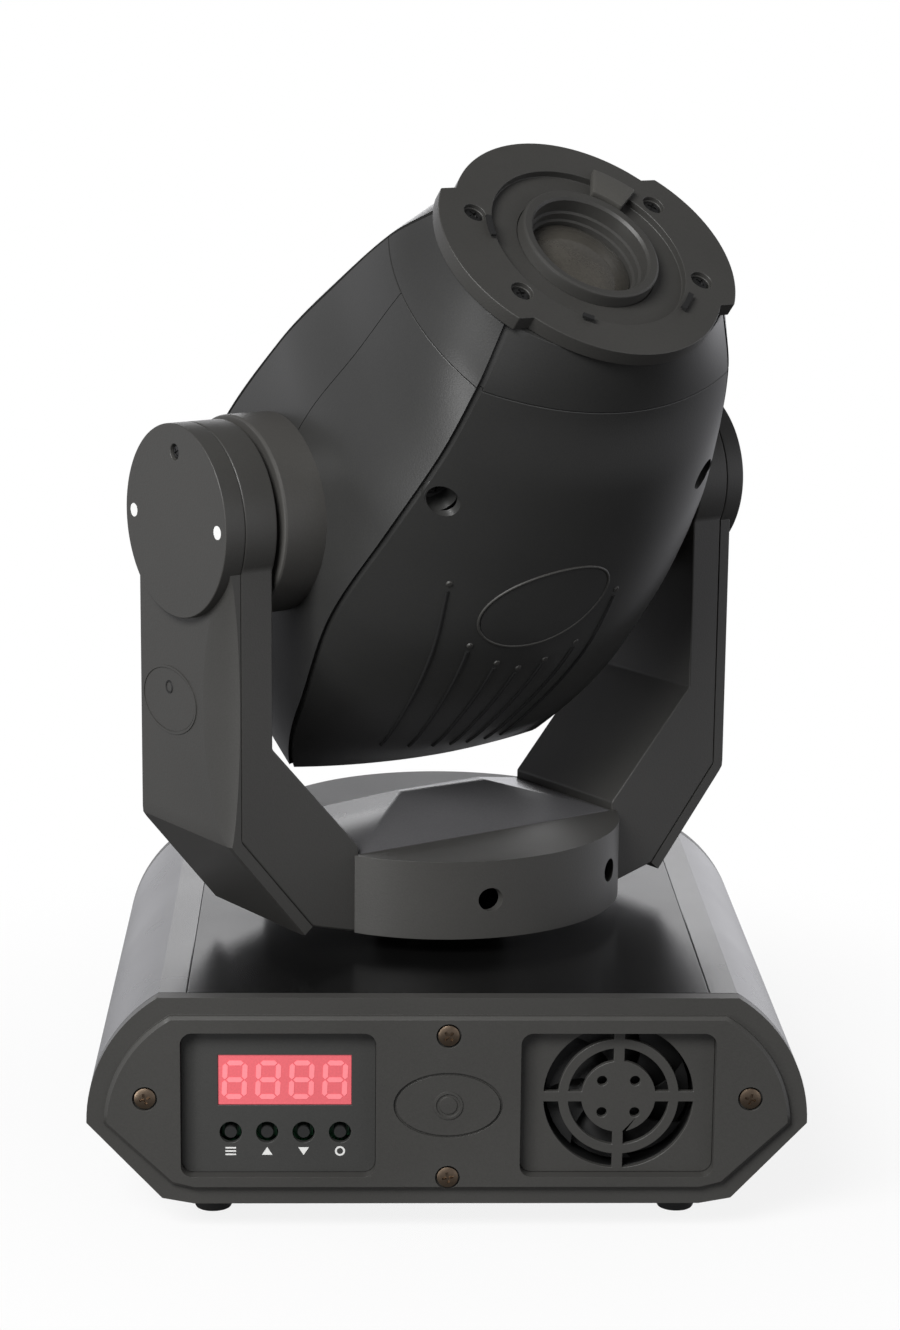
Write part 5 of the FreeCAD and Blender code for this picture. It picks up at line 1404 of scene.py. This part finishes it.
    def collar(self) -> None:
        """Build the nose collar behind the front plate."""
        piece = self._skin("collar", self.nose + self.seam, self.collar_end, (1, -1), 12)
        dressed(smoothed(piece, 28), Finishes.SHELL, Body.HEAD, "nose_collar")

    def cap(self) -> None:
        """Build the rear cap with its closed end."""
        shape = bmesh.new()
        start, end = self.tail - self.seam, self.rear
        rings = []
        places = [(start, 0.5), (start - 0.5, 0.0), (-95.0, 0.0), (-98.0, 0.0), (-100.4, 0.0), (end, 1.2)]
        for place, inset in places:
            rings.append([shape.verts.new(point) for point in self._ring(place, (1, -1), inset, True)])
        bridge(shape, rings)
        shape.faces.new(rings[-1])
        shape.faces.new(list(reversed(rings[0])))
        built("rear_end", shape, HEAD_FRAME, Finishes.SHELL, Body.HEAD, "rear_cap", angle=28)
        slat = bmesh.new()
        slab(slat, [(-28, -1.3), (28, -1.3), (28, 1.3), (-28, 1.3)], -0.4, 1.0)
        template = edge_rounded(from_bmesh("tail_slat", slat, BASE_FRAME), 0.5)
        spots = [facing(HEAD_FRAME, 0, 7.0 * i, self.rear, Vector((0, 0, -1))) for i in range(-4, 5)]
        SCATTER.spread("tail_slats", template, spots, Finishes.PLATE, Body.HEAD)

    def _surface_point(self, x: float, place: float) -> Vector:
        """A point on the lower shell in the row frame, in metres."""
        return HEAD_FRAME @ (Vector((x, self.form.bottom(x, place), place)) * MM)

    def ribs(self) -> None:
        """Run the cooling ribs down the lower shell, in the near-black groove finish as painted shade, with a round dot
        at the head of each.
        """
        starts = ((-50, 31.5), (-34, 5.6), (-19.6, -2.5), (-8.6, -5.7), (2, -2), (14, 5), (24.7, 28))
        lines = []
        for x, place in starts:
            length = place + self.rib_foot
            lines.append([self._surface_point(x * (1 - self.rib_lean * i / 24), place - length * i / 24)
                          for i in range(25)])
        # The beads' near-black finish paints the shade of the shell's grooves.
        BEADING.run("cooling_ribs", lines, 0.75, Finishes.GROOVE, Body.HEAD)
        dot = bmesh.new()
        revolve(dot, [(0, 0.7), (1.1, 0.45), (1.5, -0.4), (0, -0.4)], 20)
        template = from_bmesh("rib_dot", dot, BASE_FRAME)
        spots = [facing(HEAD_FRAME, x, self.form.bottom(x, place + 3), place + 3, Vector((x * 0.006, -1, 0.1)))
                 for x, place in starts]
        SCATTER.spread("rib_dots", template, spots, Finishes.PLATE, Body.HEAD)

    def badge(self) -> None:
        """Raise the blank oval badge on the lower shell."""
        steps = 72
        edge = []
        for i in range(steps):
            turn = 2 * math.pi * i / steps
            x = self.badge_long * math.cos(turn)
            place = self.badge_place + self.badge_short * math.sin(turn) + self.badge_slope * x
            edge.append(self._surface_point(x + self.badge_x, place))
        BEADING.run("badge_rim", [edge], 0.6, Finishes.PLATE, Body.HEAD, closed=True)
        shape = bmesh.new()
        rings = []
        for share, lift in ((0.0, 0.35), (0.3, 0.35), (0.6, 0.35), (0.85, 0.35), (0.97, 0.3), (0.97, -0.6)):
            row = []
            for i in range(steps):
                turn = 2 * math.pi * i / steps
                x = self.badge_long * share * math.cos(turn)
                place = self.badge_place + self.badge_short * share * math.sin(turn) + self.badge_slope * x
                x += self.badge_x
                row.append(shape.verts.new((x, self.form.bottom(x, place) - lift, place)))
            rings.append(row)
        floor = [shape.verts.new(vert.co + Vector((0, 1.0, 0))) for vert in rings[-1]]
        bridge(shape, rings + [floor])
        shape.faces.new(floor)
        built("badge_blank", shape, HEAD_FRAME, Finishes.SHELL, Body.HEAD)

    def plate(self) -> None:
        """Finish the front plate and add its catches, pad and screws; the catches are thin near-black slabs of painted
        shade.
        """
        refined("front_plate", Finishes.PLATE, Body.HEAD, 0.7)
        shape = bmesh.new()
        # Thin near-black slabs on the plate face: painted shade for the bayonet notches.
        for turn, spread in ((164, 7), (239, 3), (311, 7)):
            slab(shape, sector(self.notch_radii, turn - spread, turn + spread, 8), 139.0, 140.03)
        dressed(from_bmesh("plate_notches", shape, HEAD_FRAME), Finishes.GROOVE, Body.HEAD)
        pad = bmesh.new()
        slab(pad, sector(self.pad_radii, 36, 60, 10), 137.0, 140.5)
        block = edge_rounded(from_bmesh("plate_pad", pad, HEAD_FRAME), 0.5)
        dressed(smoothed(block), Finishes.PAD, Body.HEAD)
        across, along, place = self.plate_screw
        spots = [facing(HEAD_FRAME, i * across, j * along, place, Vector((0, 0, 1)), 0.4 + i + j)
                 for i in (-1, 1) for j in (-1, 1)]
        spots += [facing(HEAD_FRAME, side.value * self.screw_x, self.screw_floor, self.screw_place,
                         Vector((0, -1, 0)), 0.3) for side in Side]
        SCATTER.spread("head_screws_dark", screw_template(3.4, 1.4, 1.9), spots, Finishes.BLACK_SCREW, Body.HEAD,
                       ("head_screws",))

    def lens(self) -> None:
        """Shape the front lens and the stepped ring round it."""
        ring = bmesh.new()
        revolve(ring, self.sleeve_profile, 96)
        built("focus_sleeve", ring, HEAD_FRAME, Finishes.RING, Body.FOCUS, "focus_ring", angle=30)
        glass = bmesh.new()
        foot = math.cos(self.dome_reach)
        crown = [(21.0 * math.sin(t), self.dome_edge + self.dome_rise * (math.cos(t) - foot) / (1 - foot))
                 for t in (0.0, 0.1, 0.2, 0.3, 0.4, 0.5, 0.6, 0.7, 0.8, 0.9, self.dome_reach)]
        scale = self.dome_radius / crown[-1][0]
        dome = [(radius * scale, height) for radius, height in crown]
        revolve(glass, dome + [(self.dome_radius, self.dome_edge - 1), (0, self.dome_edge - 1)], 72)
        built("lens_dome", glass, HEAD_FRAME, Finishes.GLASS, Body.FOCUS, "front_lens", angle=40)
        throat = bmesh.new()
        revolve(throat, self.throat_profile, 64)
        built("lens_throat", throat, HEAD_FRAME, Finishes.RING, Body.HEAD, angle=30)

    def _widened(self, hub: Piece) -> None:
        """Swell a tilt hub's rim, so that it stands proud of the arm.

        Args:
            hub: The hub, whose vertices are moved.
        """
        inverse = HEAD_FRAME.inverted()
        for vertex in hub.data.vertices:
            spot = (inverse @ vertex.co) / MM
            radius = math.hypot(spot.y, spot.z)
            if radius > self.hub_core:
                swell = 1 + self.hub_swell * min((radius - self.hub_core) / 3.0, 1.0) / radius
                vertex.co = HEAD_FRAME @ (Vector((spot.x, spot.y * swell, spot.z * swell)) * MM)

    def inside(self) -> None:
        """Coat what the shells hide and finish the fan."""
        for finish, node in (
            (Finishes.ZINC, "head_chassis"), (Finishes.SINK, "led_engine"), (Finishes.MOTOR, "wheel_motors"),
            (Finishes.ALUMINIUM, "tilt_pulley"), (Finishes.FILTER, "colour_wheel"), (Finishes.GOBO, "gobo_wheel"),
            # the head fan's near-black finish is painted shade
            (Finishes.FAN, "head_fan_frame"),
        ):
            coated(finish, node)
        where = HEAD_FRAME @ Matrix.Translation(Vector((0, 0, -77.6)) * MM)
        rotor("head_fan_wheel", where, 9.8, 21.5, 6.4, Body.HEAD_FAN, "head_fan_rotor")

    def build(self) -> None:
        """Build and dress every piece of the head."""
        self.shells()
        self.collar()
        self.cap()
        self.ribs()
        self.badge()
        self.plate()
        self.lens()
        for side in Side:
            hub = refined(f"tilt_hub_{side.word}", Finishes.HUB, Body.HEAD, 1.0, 20)
            self._widened(hub)
        self.inside()


# ------------------------------------------------------------------ studio


@dataclass
class Studio:
    """The pale floor, the soft light and the camera."""

    place: Point = (-0.03732, -1.27136, 0.46701)
    yaw: float = 1.73
    pitch: float = 13.17
    roll: float = 0.59
    focal: float = 87.84
    shift: tuple[float, float] = (0.0038, 0.0429)

    def camera(self) -> None:
        """Set the camera at its viewing angle."""
        yaw, pitch, roll = (math.radians(angle) for angle in (self.yaw, self.pitch, self.roll))
        forward = Vector((math.sin(yaw) * math.cos(pitch), math.cos(yaw) * math.cos(pitch), -math.sin(pitch)))
        right = Vector((math.cos(yaw), -math.sin(yaw), 0))
        up = right.cross(forward)
        tilted_right = right * math.cos(roll) + up * math.sin(roll)
        tilted_up = up * math.cos(roll) - right * math.sin(roll)
        data = bpy.data.cameras.new("studio_camera")
        data.lens = self.focal
        data.sensor_width = 36
        data.shift_x, data.shift_y = self.shift
        data.clip_end = 50
        camera = bpy.data.objects.new("studio_camera", data)
        axes = Matrix((tilted_right, tilted_up, -forward)).transposed().to_4x4()
        camera.matrix_world = Matrix.Translation(Vector(self.place)) @ axes
        bpy.context.scene.collection.objects.link(camera)
        bpy.context.scene.camera = camera

    def _softbox(self, name: str, spot: Point, target: Point, size: tuple[float, float], power: float) -> None:
        """Hang one soft light.

        Args:
            name: The light's name.
            spot: Where it hangs.
            target: Where it points.
            size: Its width and height in metres.
            power: Its power in watts.
        """
        data = bpy.data.lights.new(name, "AREA")
        data.shape = "RECTANGLE"
        data.size, data.size_y = size
        data.energy = power
        lamp = bpy.data.objects.new(name, data)
        turn = (Vector(target) - Vector(spot)).to_track_quat("-Z", "Y").to_matrix().to_4x4()
        lamp.matrix_world = Matrix.Translation(Vector(spot)) @ turn
        bpy.context.scene.collection.objects.link(lamp)

    def lights(self) -> None:
        """Hang the soft boxes."""
        middle = (0, 0, 0.2)
        for name, spot, target, size, power in (
            ("key_box", (-1.0, -1.75, 1.75), middle, (1.3, 1.0), 72),
            ("fill_box", (1.6, -1.7, 0.9), middle, (0.8, 1.0), 3),
            ("low_box", (-0.85, -0.8, 0.12), (0, 0, 0.05), (0.3, 0.3), 2.6),
            ("back_box", (0.0, 2.1, 0.75), (0, 0, 0.15), (1.9, 0.45), 4),
        ):
            self._softbox(name, spot, target, size, power)

    def room(self) -> None:
        """Surround the light with a pale room whose walls glow near the horizon."""
        world = bpy.data.worlds.new("pale_room")
        world.use_nodes = True
        bpy.context.scene.world = world
        tree = world.node_tree
        place = node_of(tree, "ShaderNodeTexCoord")
        split = node_of(tree, "ShaderNodeSeparateXYZ")
        level = self._spanned(tree, split.outputs["Z"], 0.0, 1.0)
        shade = node_of(tree, "ShaderNodeValToRGB")
        stops = shade.color_ramp.elements
        stops[0].position, stops[0].color = 0.20, (0.01, 0.01, 0.01, 1)
        stops[1].position, stops[1].color = 1.0, (0.07, 0.07, 0.07, 1)
        for position, amount in ((0.34, 0.22), (0.44, 0.70), (0.57, 0.80), (0.66, 0.35), (0.76, 0.10)):
            stops.new(position).color = (amount, amount, amount * 1.04, 1)
        depth = self._spanned(tree, split.outputs["Y"], 0.35, 1.6)
        across = self._spanned(tree, split.outputs["X"], 0.6, 1.45)
        power = node_of(tree, "ShaderNodeMath", operation="MULTIPLY")
        glow = tree.nodes["Background"]
        seen = node_of(tree, "ShaderNodeBackground", {"Color": (1, 1, 1, 1)})
        path = node_of(tree, "ShaderNodeLightPath")
        mix = node_of(tree, "ShaderNodeMixShader")
        wire(
            tree,
            (place.outputs["Generated"], split.inputs[0]),
            (level, shade.inputs[0]),
            (shade.outputs["Color"], glow.inputs["Color"]),
            (depth, power.inputs[0]),
            (across, power.inputs[1]),
            (power.outputs[0], glow.inputs["Strength"]),
            (path.outputs["Is Camera Ray"], mix.inputs[0]),
            (glow.outputs[0], mix.inputs[1]),
            (seen.outputs[0], mix.inputs[2]),
            (mix.outputs[0], tree.nodes["World Output"].inputs["Surface"]),
        )

    def _spanned(self, tree: Tree, part: Socket, low: float, high: float) -> Socket:
        """Map one part of a direction, from minus one to one, to a range.

        Args:
            tree: The tree to add the node to.
            part: The socket with the part of the direction.
            low: The result at minus one.
            high: The result at one.

        Returns:
            The socket with the result.
        """
        node = node_of(tree, "ShaderNodeMapRange", {"From Min": -1.0, "To Min": low, "To Max": high})
        wire(tree, (part, node.inputs["Value"]))
        return node.outputs[0]

    def floor(self) -> None:
        """Lay the pale floor, which fades into the pale room."""
        shape = bmesh.new()
        bmesh.ops.create_grid(shape, x_segments=8, y_segments=8, size=1600)
        piece = from_bmesh("studio_floor", shape, BASE_FRAME)
        finish = Finish("floor_pale", "casing_plastic", (0.93, 0.93, 0.93), 0.75, 0.05, grain=0.02, tone=0.01)
        coat = finish.material()
        tree = coat.node_tree
        place = node_of(tree, "ShaderNodeTexCoord")
        size = node_of(tree, "ShaderNodeVectorMath", operation="LENGTH")
        fade = node_of(tree, "ShaderNodeMapRange", {"From Min": 0.13, "From Max": 0.42, "To Min": 0.14, "To Max": 0.0},
                       interpolation_type="SMOOTHSTEP")
        wire(
            tree,
            (place.outputs["Object"], size.inputs[0]),
            (size.outputs["Value"], fade.inputs["Value"]),
            (fade.outputs[0], tree.nodes["Principled BSDF"].inputs["Alpha"]),
        )
        piece.data.materials.append(coat)

    def build(self) -> None:
        """Set up the studio."""
        self.camera()
        self.lights()
        self.room()
        self.floor()
        bpy.context.scene.view_settings.view_transform = "Standard"


def main() -> None:
    """Build the light and its studio in order."""
    logging.basicConfig(level=logging.INFO, format="%(name)s: %(message)s")
    Studio().build()
    Base().build()
    Yoke().build()
    Head().build()


if __name__ == "__main__":
    main()
